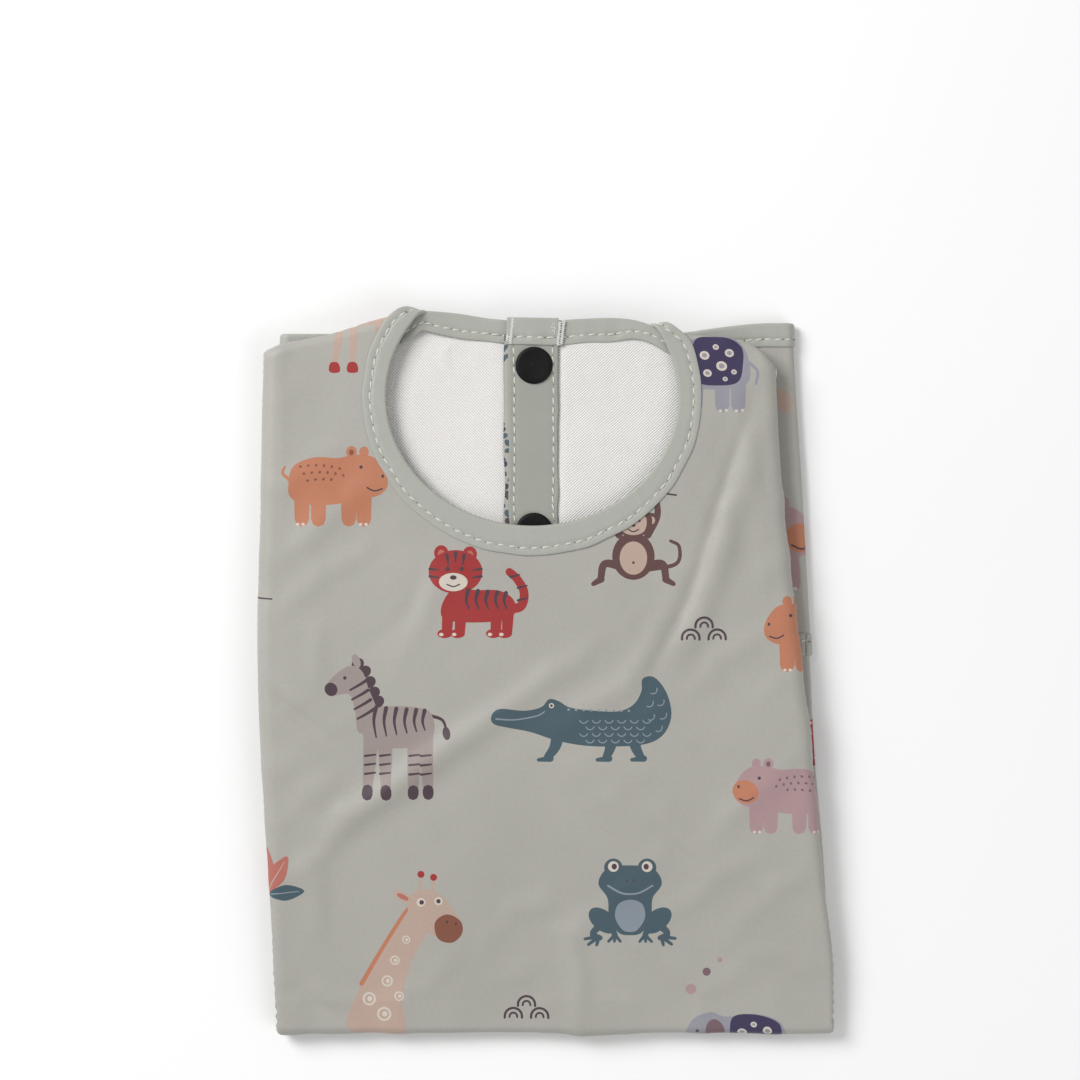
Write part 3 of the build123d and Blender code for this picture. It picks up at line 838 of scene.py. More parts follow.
def band(
    name, path, lateral, width, thick, seed, seams=None, both=False, step=0.8, pucker_size=0.1, join=None
):
    """A folded strip sewn over an edge.

    path is the edge and lateral points into the cloth; width and thick may vary along it. seams are distances
    from the edge, by default one near the far side; join is where its two ends meet."""
    run = lengths(path)
    at = np.linspace(0, run[-1], max(8, int(run[-1] / step)))
    path, lateral = read_at(at, run, path), read_at(at, run, lateral)
    width = np.interp(at, run, np.broadcast_to(width, run.shape))
    thick = np.interp(at, run, np.broadcast_to(thick, run.shape))
    side, up = frames(path, lateral)
    wander = ripple(seed, 7.0)
    width = width + 0.16 * wander(at, 40.0)
    seam_at = [width - SEAM_INSET] if seams is None else [np.full(len(at), s) for s in seams]
    shares = np.array([0, 0.008, 0.025, 0.05, 0.085, *np.linspace(0.13, 0.93, 19), 0.965, 0.985, 1.0])
    pucker = ripple(seed + 1, 3.4)
    between = 0.5 - 0.5 * np.cos(2 * math.pi * at / STITCH_PITCH)
    rings = []
    for share in shares:
        across = share * width
        near = sum(np.exp(-(((across - s) / 1.5) ** 2)) for s in seam_at)
        puff = pucker_size * pucker(at, across * 0.4) * (0.3 + near) + 0.09 * near * between
        if join is not None:
            puff = puff + 0.3 * np.exp(-(((at - join - 0.25 * across) / 0.8) ** 2))
        rings.append((across, band_height(across, width, thick, seam_at, puff, both)))
    top = [path + side * a[:, None] + up * h[:, None] for a, h in rings]
    low = [path + side * a[:, None] - up * h[:, None] for a, h in rings[::-1]]
    back = [2 * width - a for a, _ in rings[::-1]]
    first = 1 if both else 0
    loops = top + low[first:-1]
    across = [a for a, _ in rings] + back[first:-1]
    count, ring = len(at), len(loops)
    verts = np.stack(loops, axis=1).reshape(-1, 3)
    flat = np.stack([np.column_stack([a, at]) for a in across], axis=1).reshape(-1, 2)
    i, j = np.meshgrid(np.arange(count - 1), np.arange(ring), indexing="ij")
    k = (j + 1) % ring
    quads = np.stack(
        [i * ring + j, (i + 1) * ring + j, (i + 1) * ring + k, i * ring + k], axis=-1
    ).reshape(-1, 4)
    uvs = flat[quads].copy()
    closing = (j.ravel() == ring - 1)[:, None] & np.array([False, False, True, True])
    uvs[..., 0] = np.where(closing, uvs[..., 0] + 2 * width.mean(), uvs[..., 0])
    faces = quads.tolist()
    ends = list(range(ring)), [(count - 1) * ring + j for j in range(ring)][::-1]
    faces += [list(end) for end in ends]
    uvs = np.vstack([uvs.reshape(-1, 2), flat[ends[0]], flat[ends[1]]])
    obj = make_object(name, verts, faces, [binding_fabric], uvs=uvs)
    rows = []
    for s in seam_at:
        half = band_height(s, width, thick, seam_at, 0.0, both)
        rows.append({"at": at, "seam": path + side * s[:, None], "up": up, "half": half})
    return obj, rows


def capsule(count_round=8, count_long=7):
    """A stitch of unit size along X: bulging in the middle, tucked in at both ends."""
    verts, faces = [], []
    for i in range(count_long):
        t = i / (count_long - 1)
        x, r = t - 0.5, math.sin(math.pi * (0.06 + 0.88 * t)) ** 0.45
        dip = -0.9 * (2 * t - 1) ** 4
        for j in range(count_round):
            a = 2 * math.pi * j / count_round
            verts.append((x, math.cos(a) * r, math.sin(a) * r + dip))
    for i in range(count_long - 1):
        for j in range(count_round):
            k = (j + 1) % count_round
            faces.append([
                i * count_round + j, i * count_round + k, (i + 1) * count_round + k,
                (i + 1) * count_round + j,
            ])
    faces.append(list(range(count_round))[::-1])
    faces.append([(count_long - 1) * count_round + j for j in range(count_round)])
    return np.array(verts), faces


STITCH_VERTS, STITCH_FACES = capsule()


def stitches(
    name, places, directions, ups, seed, length=STITCH_LENGTH, radius=STITCH_RADIUS, material=None,
    holes=False,
):
    """Stitches, one at each place, lying along directions with ups as their outer side.

    holes adds a small dark capsule after each one, painted shade for its needle hole."""
    rng = np.random.default_rng(seed)
    verts, faces, uvs, indices = [], [], [], []

    def capsule_at(middle, along_it, beside, above, size, index):
        base = len(verts) * len(STITCH_VERTS)
        local = STITCH_VERTS * size
        verts.append(middle + local[:, :1] * along_it + local[:, 1:2] * beside + local[:, 2:] * above)
        for face in STITCH_FACES:
            faces.append([base + i for i in face])
            uvs.extend(STITCH_VERTS[face][:, :2] * [size[0], size[1] * 3] + [base * 0.05, 0])
            indices.append(index)

    for p, t, n in zip(places, unit(directions), unit(ups)):
        side = np.cross(n, t)
        if holes:
            # painted shade: a dark capsule, half sunk, where the needle hole is
            capsule_at(p + t * STITCH_PITCH / 2 - n * HOLE_SHADE_DEPTH, t, side, n, HOLE_SHADE_SIZE, 1)
        lean = math.radians(7 + 3 * rng.standard_normal())
        leaning = t * math.cos(lean) + side * math.sin(lean)
        across = side * math.cos(lean) - t * math.sin(lean)
        long = length * (1 + 0.05 * rng.standard_normal())
        capsule_at(p, leaning, across, n, [long, radius * 1.15, radius], 0)
    materials = [material or stitch_thread, *([needle_hole_shade] if holes else [])]
    return make_object(name, np.vstack(verts), faces, materials, indices, uvs)


def stitch_row(name, rows, seed, sides=(1,), trim=1.5):
    """Stitches along the seams of a band, on its upper side (1), its lower side (-1) or both."""
    places, directions, ups = [], [], []
    for row in rows:
        at = row["at"]
        marks = np.arange(trim, at[-1] - trim, STITCH_PITCH)
        tangent = unit(np.gradient(row["seam"], axis=0))
        for sign in sides:
            raised = row["seam"] + sign * row["up"] * (row["half"] + 0.1)[:, None]
            for source, target in ((raised, places), (tangent, directions), (sign * row["up"], ups)):
                target.append(read_at(marks, at, source))
    return stitches(name, np.vstack(places), np.vstack(directions), np.vstack(ups), seed, holes=True)


# ---------------------------------------------------------------- drawing the print
def oval(x, y, rx, ry, turn=0.0):
    """An ellipse, turned by degrees."""
    count = max(10, int(math.sqrt(rx * ry) * 9))
    a = np.linspace(0, 2 * math.pi, min(count, 44), endpoint=False)
    c, s = math.cos(math.radians(turn)), math.sin(math.radians(turn))
    px, py = rx * np.cos(a), ry * np.sin(a)
    return np.column_stack([x + px * c - py * s, y + px * s + py * c])


def blob(*points):
    """Closed smooth shape through points."""
    return evenly(catmull(points, 6, True), 0.75, True)


def stroke(points, width, end=None):
    """A brush line with round ends, from width to end wide."""
    line = evenly(catmull(points, 6) if len(points) > 2 else np.array(points, float), 0.7)
    tangent = unit(np.gradient(line, axis=0))
    across = np.column_stack([-tangent[:, 1], tangent[:, 0]])
    half = np.linspace(width, width if end is None else end, len(line))[:, None] / 2
    left, right = line + across * half, line - across * half

    def cap(centre, direction, radius):
        a = np.linspace(-math.pi / 2, math.pi / 2, 5)[1:-1]
        n = np.array([-direction[1], direction[0]])
        return np.array([centre + radius * (math.cos(t) * direction - math.sin(t) * n) for t in a])

    ends = cap(line[-1], tangent[-1], half[-1, 0]), cap(line[0], -tangent[0], half[0, 0])
    return np.vstack([left, ends[0], right[::-1], ends[1]])


def bow(x, y, radius, low, high, width):
    """Part of a ring, as a brush line from angle low to high in degrees."""
    a = np.radians(np.linspace(low, high, 9))
    return stroke(np.column_stack([x + radius * np.cos(a), y + radius * np.sin(a)]), width)


class Drawing(list):
    """Printed shapes, each an ink and a closed loop. Later shapes lie over earlier ones."""

    def oval(self, ink, *where):
        self.append((ink, oval(*where)))

    def blob(self, ink, *points):
        self.append((ink, blob(*points)))

    def stroke(self, ink, points, *widths):
        self.append((ink, stroke(points, *widths)))

    def bow(self, ink, *where):
        self.append((ink, bow(*where)))


def eye(x, y, size=1.0):
    """A round eye with its pupil."""
    return [("cream", oval(x, y, 1.1 * size, 1.1 * size)), ("dark", oval(x, y, 0.6 * size, 0.6 * size))]


def zebra():
    """Facing left."""
    art = Drawing()
    art.stroke("dark", [(15, 3), (19.5, 1.5), (21, -2)], 1.2, 0.8)
    art.oval("dark", 21, -3, 1.3, 2.2, 10)
    for x, lean in ((-4, -1.2), (0.5, 0.4), (10.5, -0.6), (14, 0.8)):
        art.stroke("stone", [(x, -4), (x + lean / 2, -12), (x + lean, -21)], 5.2, 3.4)
        art.stroke("dark", [(x + lean, -21.8), (x + lean * 1.1, -23.4)], 3.6)
    art.blob(
        "stone", (-7, 0), (-5, 5.5), (3, 6), (10, 5.8), (15.5, 4), (17, -2), (14, -7), (5, -8), (-5, -7.5)
    )
    for x, y in ((-8.5, 20), (-6.2, 17.5), (-4.6, 14), (-3.2, 10.5), (-1.8, 7.5)):
        art.oval("dark", x, y, 2.2, 1.9, 40)
    art.blob(
        "stone", (-8, -3), (-9.5, 5), (-11.5, 10), (-17, 9.5), (-19, 12.5), (-16, 16.5), (-11, 19.5),
        (-7, 17.5), (-5, 12), (-2.5, 6), (-1, 0),
    )
    art.oval("dark", -17.4, 11.6, 2.1, 2.3, 30)
    art.oval("stone", -9, 21, 1.3, 2.4, 20)
    art.oval("dark", -12.8, 15.4, 0.6, 0.6)
    for x, y in ((-8.8, 12.6), (-8.2, 9.4), (-7.4, 6.2), (-6.4, 3)):
        art.stroke("dark", [(x - 2.2, y - 1.2), (x + 1, y + 0.6), (x + 3.2, y + 2)], 0.7, 1.1)
    for k, x in enumerate((-3, 0.4, 3.8, 7.2, 10.4, 13.2)):
        art.stroke("dark", [(x + 0.5, 5.6 - 0.2 * k), (x - 0.2, 1), (x + 0.6, -4.4 + 0.5 * k)], 1.4, 0.5)
    for x in (-4.4, 0.6, 10.4, 14.2):
        for y in (-10.5, -13.5, -16.5):
            art.stroke("dark", [(x - 1.7, y), (x + 1.7, y + 0.4)], 0.8, 0.6)
    return art


def crocodile():
    """Facing left, with its tail up."""
    art = Drawing()
    for x, bend in ((-8, -3.5), (10, -2), (17, 2.5)):
        art.stroke("teal", [(x, -4), (x + bend * 0.3, -8.5), (x + bend, -12)], 4.6, 2.6)
        art.stroke("teal", [(x + bend + 1, -12.4), (x + bend - 3, -12.8)], 2.2, 1.2)
    spine = [
        (-30, 2.2), (-27, 4.2), (-19, 3.6), (-13.5, 4.8), (-11, 7.4), (-7.6, 6.6), (-4, 4.6), (4, 3.6),
        (12, 3.4), (17, 5.6),
    ]
    tail = [(19.6, 10), (20, 14.2), (24, 14.6), (28, 9.5), (29.6, 2), (27, -4.4), (21, -7.6)]
    belly = [(10, -8.4), (0, -8), (-9, -6.2), (-17, -3.6), (-25, -2), (-29.6, -0.6)]
    art.blob("teal", *spine, *tail, *belly)
    art.stroke("mist", [(-28.6, 0.9), (-22, 0.6), (-15, 1.8), (-12.5, 3.2)], 0.5, 0.4)
    for row in range(4):
        for col in range(6 - row % 2):
            x, y = 0.5 + col * 4.2 + (row % 2) * 2.1, 0.8 - row * 2.2
            art.bow("mist", x, y, 1.4, 200, 340, 0.34)
    for x, y in ((23.5, 10.5), (25.8, 6.6), (26.6, 2.2), (22.2, 6.2), (22.6, 1.8), (25.2, -2)):
        art.bow("mist", x, y, 1.4, 240, 380, 0.34)
    for k in range(9):
        art.oval("mist", -4.5 + k * 2.5, 3.9 - 0.05 * k, 0.42, 0.42)
    return art + eye(-10.2, 5.2, 0.8)


def frog():
    """Sitting, from the front."""
    art = Drawing()
    for s in (-1, 1):
        art.oval("teal", s * 9, -6.5, 5.6, 3.4, s * 40)
        art.stroke("teal", [(s * 10, -8), (s * 12.5, -11), (s * 10, -12.4)], 2.6, 1.8)
        for dx, dy in ((4.6, -0.6), (3.4, -2.6), (0.6, -2.8)):
            art.stroke("teal", [(s * 10.5, -12), (s * (10.5 + dx), -12 + dy)], 1.5, 1.0)
        art.stroke("teal", [(s * 5, -2), (s * 6.6, -7), (s * 5, -11.5)], 2.8, 1.9)
        for dx in (-1.8, 0.2, 2.2):
            art.stroke("teal", [(s * 5, -11.4), (s * (5 + dx), -13.6)], 1.3, 0.9)
        art.oval("teal", s * 5.6, 11.2, 3.1, 3.1)
    art.blob(
        "teal", (0, 12), (7.5, 11), (10.6, 6), (7.5, 1), (7, -5), (4, -10.5), (0, -11.5), (-4, -10.5),
        (-7, -5), (-7.5, 1), (-10.6, 6), (-7.5, 11),
    )
    art.blob(
        "mist", (0, 0.6), (4, -1), (5, -5.4), (2.6, -9.6), (0, -10.4), (-2.6, -9.6), (-5, -5.4), (-4, -1)
    )
    art.stroke("mist", [(-7.4, 5.2), (-3.4, 3), (0, 2.5), (3.4, 3), (7.4, 5.2)], 0.6)
    for s in (-1, 1):
        art.oval("cream", s * 5.6, 11.6, 1.8, 1.8)
        art.oval("dark", s * 5.3, 11.6, 0.9, 1.0)
        art.oval("dark", s * 1.1, 7, 0.35, 0.35)
    return art


def hippo(skin, spot, muzzle):
    """Facing right."""
    art = Drawing()
    art.stroke(skin, [(-15, 2), (-17.4, 4.4), (-16.6, 6.4)], 1.2, 0.8)
    for x in (-11, -5.5, 4.5, 9.5):
        art.stroke(skin, [(x, -2), (x, -11)], 5.4, 4.8)
    art.blob(
        skin, (-15.5, 0), (-14, 6.5), (-7, 9.6), (1, 9.4), (6, 10.5), (12.5, 9.8), (16.6, 5), (17.4, 0),
        (14, -3.2), (8, -4), (0, -6), (-9, -6), (-14.5, -4),
    )
    art.oval(skin, 5.4, 11.4, 1.8, 2.0)
    art.oval(skin, 9.6, 11.4, 1.6, 1.9)
    art.oval(spot, 5.4, 11.3, 0.8, 1.0)
    if muzzle:
        art.oval(muzzle, 13.4, 1.6, 4.6, 4.0, 20)
    for k in range(16):
        row, col = divmod(k, 6)
        x, y = -11.5 + col * 2.6 + row * 1.2, 7.0 - row * 2.3 - 0.12 * (col - 2) ** 2
        art.oval(spot, x, y, 0.55, 0.42, 25 * col)
    art.oval("dark", 8.6, 6.4, 0.6, 0.6)
    art.oval("dark", 15.8, 3.4, 0.45, 0.6)
    art.stroke("dark", [(10.6, -0.4), (13, -1.5), (15.6, -0.8)], 0.5)
    for x in (-12.4, -10.6, 8.4, 10.2):
        art.oval("cream", x, -12.6, 0.6, 0.5)
    return art


def tiger():
    """Facing left."""
    art = Drawing()
    art.stroke("red", [(11, -6), (15.5, -5), (16.5, 0), (14, 4.6), (11.4, 7)], 3.4, 2.8)
    for x, y in ((16, -3), (16, 1.4), (13.4, 5.2)):
        art.stroke("dark", [(x - 1.6, y), (x + 1.6, y + 0.8)], 0.9, 0.5)
    for x in (-10, -5.5, 7, 11):
        art.stroke("red", [(x, -6), (x - 0.4, -14)], 4.2, 3.6)
        art.oval("red", x - 1.2, -14.6, 2.6, 1.6)
        art.oval("cream", x - 2.4, -14.9, 0.8, 0.6)
    art.blob(
        "red", (-12, -4), (-8, 1), (0, 0.6), (8, 0.4), (13, -3), (13, -8), (6, -10.4), (-6, -10.6),
        (-12, -9),
    )
    art.oval("red", -12.4, 13.6, 2.5, 2.7)
    art.oval("red", -2.4, 13.2, 2.5, 2.7)
    art.oval("coral", -12.4, 13.4, 1.2, 1.4)
    art.oval("coral", -2.4, 13, 1.2, 1.4)
    art.oval("red", -7.4, 7, 9.4, 7.6)
    art.oval("cream", -8.2, 3.4, 5.0, 3.2)
    for x, y, lean in ((-7.4, 13.6, 0), (-10.4, 12.8, 1), (-4.4, 12.8, -1)):
        art.stroke("dark", [(x, y), (x + lean * 0.5, y - 3.4)], 1.3, 0.4)
    for s in (-1, 1):
        for y in (8, 5.4):
            art.stroke("dark", [(-7.4 + s * 9, y), (-7.4 + s * 5.8, y - 0.4)], 1.0, 0.4)
    for k, x in enumerate((-3, 0.4, 3.8, 7.2, 10.2)):
        art.stroke("dark", [(x, 0.6 - 0.25 * k), (x - 0.7, -3), (x + 0.3, -6)], 1.5, 0.5)
    art.oval("dark", -10.2, 8, 0.75, 0.85)
    art.oval("dark", -5.2, 8, 0.75, 0.85)
    art.oval("dark", -8.2, 5, 1.2, 0.8)
    art.stroke("dark", [(-10.4, 2.6), (-8.2, 1.8), (-6, 2.6)], 0.45)
    return art


def monkey():
    """Hanging by both arms from a branch."""
    art = Drawing()
    art.stroke("dark", [(-16, 19), (-6, 18), (6, 19), (15, 18)], 0.9, 0.6)
    art.oval("teal", -15, 21, 3, 1.2, 35)
    art.oval("teal", -17.5, 18, 2.8, 1.1, -10)
    art.oval("teal", -12.5, 21, 2.6, 1.0, 60)
    art.stroke("brown", [(-5, 4), (-8, 11), (-7.4, 18.6)], 2.6, 2.0)
    art.stroke("brown", [(5, 4), (8.4, 11), (7.6, 18.4)], 2.6, 2.0)
    for s in (-1, 1):
        art.stroke("brown", [(s * 4, -7), (s * 10, -6), (s * 11.4, -11)], 3.0, 2.4)
        art.stroke("brown", [(s * 11.2, -11.4), (s * 14, -13)], 2.4, 1.6)
        art.oval("brown", s * 6.4, 9.2, 2.4, 2.6)
        art.oval("tan", s * 6.4, 9.2, 1.2, 1.4)
    art.stroke("brown", [(5, -8), (15, -6), (16, 0), (13, 2)], 1.6, 1.1)
    art.oval("brown", 0, -3.4, 7.4, 8.2)
    art.oval("tan", 0, -4, 4.8, 5.8)
    art.oval("brown", 0, 9, 6.6, 5.8)
    art.blob(
        "tan", (0, 10.4), (2.6, 11.8), (4.6, 9.6), (3.8, 5.4), (0, 4), (-3.8, 5.4), (-4.6, 9.6),
        (-2.6, 11.8),
    )
    art.oval("dark", -2, 9.2, 0.6, 0.7)
    art.oval("dark", 2, 9.2, 0.6, 0.7)
    art.oval("dark", 0, 7.4, 0.8, 0.5)
    art.stroke("dark", [(-1.8, 6), (0, 5.2), (1.8, 6)], 0.45)
    art.oval("brown", 0, -5.6, 0.5, 0.5)
    return art


def elephant():
    """Facing right."""
    art = Drawing()
    art.stroke("lilac", [(-15, 3), (-17.6, 0), (-17, -4)], 1.2, 0.8)
    for x in (-11, -5.6, 3.4, 8.4):
        art.stroke("lilac", [(x, 0), (x, -11.4)], 5.4, 4.8)
        art.oval("cream", x - 1.4, -13, 0.6, 0.5)
        art.oval("cream", x + 0.6, -13.2, 0.6, 0.5)
    art.blob(
        "lilac", (-15, 2), (-12, 9.4), (-4, 12), (6, 11), (11, 12.6), (17, 10), (20, 3), (21, -5),
        (23.5, -9), (22, -11.4), (18.6, -9), (17, -3), (12, -1), (6, -5), (-6, -6), (-14, -4),
    )
    art.blob(
        "plum", (-12, 8.6), (-5, 11.6), (3.4, 11), (4.4, 4), (3, -3.4), (-5, -4.6), (-11, -3.4), (-12.6, 2)
    )
    for x, y, r in (
        (-8, 6.4, 1.6), (-3.4, 8.4, 1.1), (0.4, 5.6, 1.7), (-5.4, 2, 1.9), (-9.6, 0, 1.0),
        (-0.6, -0.4, 1.5), (-6.6, -2.4, 0.9),
    ):
        art.oval("cream", x, y, r, r * 0.85, 20)
        art.oval("lilac", x, y, r * 0.55, r * 0.45, 20)
    art.oval("mauve", 9.4, 5.6, 3.2, 4.6, -12)
    art.oval("dark", 15.4, 6.2, 0.6, 0.6)
    return art


def giraffe():
    """Head and long neck, with the head up and to the right."""
    art = Drawing()
    art.blob(
        "tan", (-22, -34), (-18, -20), (-11, -8), (-5, 1), (0, 6), (5, 4), (4, -2), (-1, -12), (-4, -24),
        (-4, -36),
    )
    for x, y, r in (
        (-15, -24, 2.2), (-9, -18, 1.9), (-10, -29, 2.4), (-6.4, -11, 1.6), (-2.6, -4, 1.4), (-5, -23, 1.6)
    ):
        art.oval("cream", x, y, r, r, 0)
        art.oval("tan", x, y, r * 0.72, r * 0.72)
        art.oval("cream", x + 0.2, y, r * 0.38, r * 0.38)
    art.stroke("orange", [(-17.6, -19), (-10.6, -7), (-4.4, 3), (-1.6, 7)], 1.5, 1.2)
    for x, top in ((2.4, 18), (6.6, 17)):
        art.stroke("tan", [(x - 0.6, 10), (x, top - 1)], 1.3, 1.0)
        art.oval("red", x, top, 1.2, 1.2)
    art.oval("tan", -3.6, 10.4, 3.6, 1.6, -28)
    art.oval("coral", -3.6, 10.4, 2.3, 0.8, -28)
    art.blob(
        "tan", (-2, 6), (-1, 11), (4, 13), (9.6, 10.6), (13.4, 6), (15.6, 1), (13, -3.4), (8, -3), (3, -0.4)
    )
    art.blob("rust", (7, 1.8), (11, 4.6), (15.6, 2.2), (16, -2), (12.6, -5), (8, -3.6))
    art.oval("cream", 2.4, 8.6, 1.5, 1.5)
    art.oval("dark", 2.6, 8.6, 0.8, 0.8)
    art.oval("cream", 8.2, 9, 1.4, 1.4)
    art.oval("dark", 8.2, 9, 0.75, 0.75)
    art.oval("dark", 11, 2, 0.4, 0.5)
    art.oval("dark", 14, 1.4, 0.4, 0.5)
    return art


def leaves():
    """A stalk with five leaves."""
    art = Drawing()
    art.stroke("dark", [(0, -12), (0.4, -2), (0, 4)], 0.8, 0.6)
    for k, (turn, size) in enumerate(((90, 14), (122, 13), (60, 13), (172, 11.5), (6, 11.5))):
        c, s = math.cos(math.radians(turn)), math.sin(math.radians(turn))
        tip, mid, w = size, size * 0.55, size * 0.2
        leaf = [
            (0.6, 0), (mid * 0.6, w * 0.8), (mid, w), (mid * 1.5, w * 0.6), (tip, 0), (mid * 1.5, -w * 0.6),
            (mid, -w), (mid * 0.6, -w * 0.8),
        ]
        turned = [(x * c - y * s, x * s + y * c) for x, y in leaf]
        art.blob("coral" if k < 3 else "teal", *turned)
        vein = [(1.5 * c, 1.5 * s), (tip * 0.85 * c, tip * 0.85 * s)]
        art.stroke("mist" if k > 2 else "tan", vein, 0.35, 0.25)
    return art


def giraffe_legs():
    """A giraffe's legs, below the body that the shoulder folds away."""
    art = Drawing()
    for x, lean in ((-7, -2.2), (-2.6, -0.6), (5.4, 0.8), (9, 2.4)):
        art.stroke("tan", [(x, 12), (x + lean * 0.4, 2), (x + lean, -6)], 3.4, 2.0)
        art.blob(
            "red", (x + lean - 1.4, -6), (x + lean + 1.2, -6), (x + lean + 1.7, -9), (x + lean - 1.7, -9)
        )
    art.blob("tan", (-9, 9), (-6, 6.4), (6, 6.8), (11, 9), (12, 22), (-8, 22))
    for x, y in ((-5, 11), (1, 10.4), (7, 11.4), (-2, 15), (4.6, 15.4), (9, 17)):
        art.oval("cream", x, y, 1.7, 1.7)
        art.oval("tan", x, y, 1.1, 1.1)
        art.oval("cream", x, y, 0.5, 0.5)
    return art


def grass():
    """Five blades from one root."""
    art = Drawing()
    for x, y in ((-8, 3), (-4.4, 6.6), (0, 8.6), (4.6, 6.4), (8.4, 2.6)):
        art.blob(
            "teal", (-1, -5), (x * 0.55 - 0.8, 1 + y * 0.4), (x, y), (x * 0.55 + 1.2, y * 0.36), (1, -5)
        )
    return art


def hills():
    """Three double arches."""
    art = Drawing()
    for x, y, r in ((-4.4, -3, 2.9), (4.4, -3, 2.9), (0, 1, 2.9)):
        art.bow("dark", x, y, r, -8, 188, 0.8)
        art.bow("dark", x, y, r * 0.45, -8, 188, 0.7)
    return art


def bubbles():
    """Three bubbles, rising."""
    art = Drawing()
    for ink, x, y, r in (("pink", -5, -4.6, 1.8), ("mauve", 0.2, 1.2, 1.4), ("pink", 4.6, 5.2, 0.9)):
        art.oval(ink, x, y, r, r)
    return art


def stick():
    """A short line, the end of a figure that the side fold hides."""
    return [("dark", stroke([(-6, 0.6), (0, 0), (5, -0.4)], 0.7, 0.5))]


def placed(art, x, y, size=1.0, mirror=False, turn=0.0):
    """Artwork moved to (x, y) of the flat cloth."""
    c, s = math.cos(math.radians(turn)), math.sin(math.radians(turn))
    out = []
    for ink, loop in art:
        p = loop * [-size if mirror else size, size]
        moved = np.column_stack([p[:, 0] * c - p[:, 1] * s + x, p[:, 0] * s + p[:, 1] * c + y])
        out.append((ink, moved[::-1] if mirror else moved))
    return out


def print_on_front():
    """Everything printed on the flat front cloth: figures in view at their places, then the hidden ones."""
    orange = hippo("orange", "rust", None)
    pink = hippo("pink", "mauve", "orange")
    art = Drawing()
    for figure, *where in (
        (giraffe_legs(), -61, 109),
        (orange, -70, 62),
        (elephant(), 53, 100, 0.98, True),
        (monkey(), 29, 42, 0.95),
        (tiger(), -23, 27, 0.95),
        (hills(), 52.4, 14.6),
        (orange, 89, 13, 0.95, True),
        (zebra(), -54, -17),
        (crocodile(), 12, -16),
        (pink, 79, -41, 0.95, True),
        (leaves(), -93.5, -74, 1.15),
        (frog(), 28, -76),
        (giraffe(), -44, -85),
        (hills(), -6.5, -112),
        (elephant(), 66, -126, 1.0, True),
        (bubbles(), 53.4, -101),
        (stick(), -96, 25),
        (pink, 105.7, flat_v(43), 1.2, False, 180),
    ):
        art += placed(figure, *where)
    art.oval("tan", 90.0, flat_v(91), 2.8, 4.2, 12)
    kinds = (
        zebra, monkey, leaves, tiger, frog, grass, lambda: orange, elephant, hills, giraffe, lambda: pink,
        leaves,
    )
    spots = []  # rows on the lower half, staggered, then columns on the upper half's side flaps
    for k, v in enumerate(range(-170, -350, -44)):
        spots += [(u + 24 * (k % 2), v) for u in range(-168, 160, 48)]
    for k, v in enumerate(range(-96, 90, 44)):
        spots += [(u, v + 8 * (k % 2)) for u in (-172, -128, 128, 172)]
    for k, (u, v) in enumerate(spots):
        if math.hypot(u - 98, (v + 318) * 0.6) > 40:  # room for the figures in view on the strip at the right
            figure = kinds[(5 * k + 3 * (k // 7)) % len(kinds)]()
            art += placed(figure, u, v, 0.92, k % 3 == 0, (k * 37) % 9 - 4)
    return art


artwork = print_on_front()


# ---------------------------------------------------------------- front cloth
def free_edge(y, edges, turn, x):
    """Flat distance u at which the cloth's side flap comes back to x."""
    reach, arc = side_fold(turn)
    side = -1 if x < (FREE_LEFT + FREE_RIGHT) / 2 else 1
    return 2 * (edge_x(edges, y, side) - side * reach) + side * arc - x


def upper_free(v, x):
    return free_edge(v, UPPER_EDGES, (through(FRONT_HEIGHT, v) - FLAP_Z) / 2, x)


def lower_free(y, x):
    return free_edge(y, LOWER_EDGES, (LOWER_FLAP_Z - LOWER_Z) / 2, x)


def bend_free(v, x):
    phi = np.clip((FOLD_Y - v) / FOLD_R, 0, math.pi)
    return free_edge(np.full_like(v, FOLD_Y), LOWER_EDGES, (FOLD_R - flap_radius(phi)) / 2, x)


def neck_loop(grow, count=140):
    """The neck opening's ellipse, grown outwards."""
    a = np.linspace(0, 2 * math.pi, count, endpoint=False)
    rx, ry = NECK_INNER[0] + grow, NECK_INNER[1] + grow
    return np.column_stack([NECK_X + rx * np.cos(a), NECK_Y + ry * np.sin(a)])


def upper_outline():
    """From the bottom fold up one free edge, over both shoulders and down the other, in (u, v)."""
    sides = np.linspace(FOLD_Y, 102, 24)
    right = [(upper_free(v, FREE_RIGHT), v) for v in sides]
    left = [(upper_free(v, FREE_LEFT), v) for v in sides[::-1]]
    over_right = [(x, through(SHOULDER_LINE, x) + 7.5) for x in (70, 62, 54, 46, 38, 30, 22)]
    over_left = [(x, through(SHOULDER_LINE, x) + 10.0) for x in (-32, -40, -48, -58, -68, -78, -86)]
    right_corner = [(upper_free(91.0, 60.0), 93), (92, 89), (84, 96), (77, 107)]
    left_corner = [(-92, 114), (-97, 104), (-105, 93), (upper_free(94.0, -80.0), 94.5)]
    return [*right, *right_corner, *over_right, (22, 108), (-32, 108), *over_left, *left_corner, *left]


HEM_CORNER = 55.0  # radius of the hem's two corners
HEM_INSET = 1.0  # how far the cloth's edge stays inside the hem


def lower_sides(count):
    """Free edges of the lower half in (u, v): the left one to the hem's corner, the right one back."""
    ys = np.linspace(FOLD_Y, HEM_Y - HEM_CORNER, count)
    left = [(lower_free(y, FREE_LEFT), flat_v(y)) for y in ys]
    return left, [(lower_free(y, FREE_RIGHT), flat_v(y)) for y in ys[::-1]]


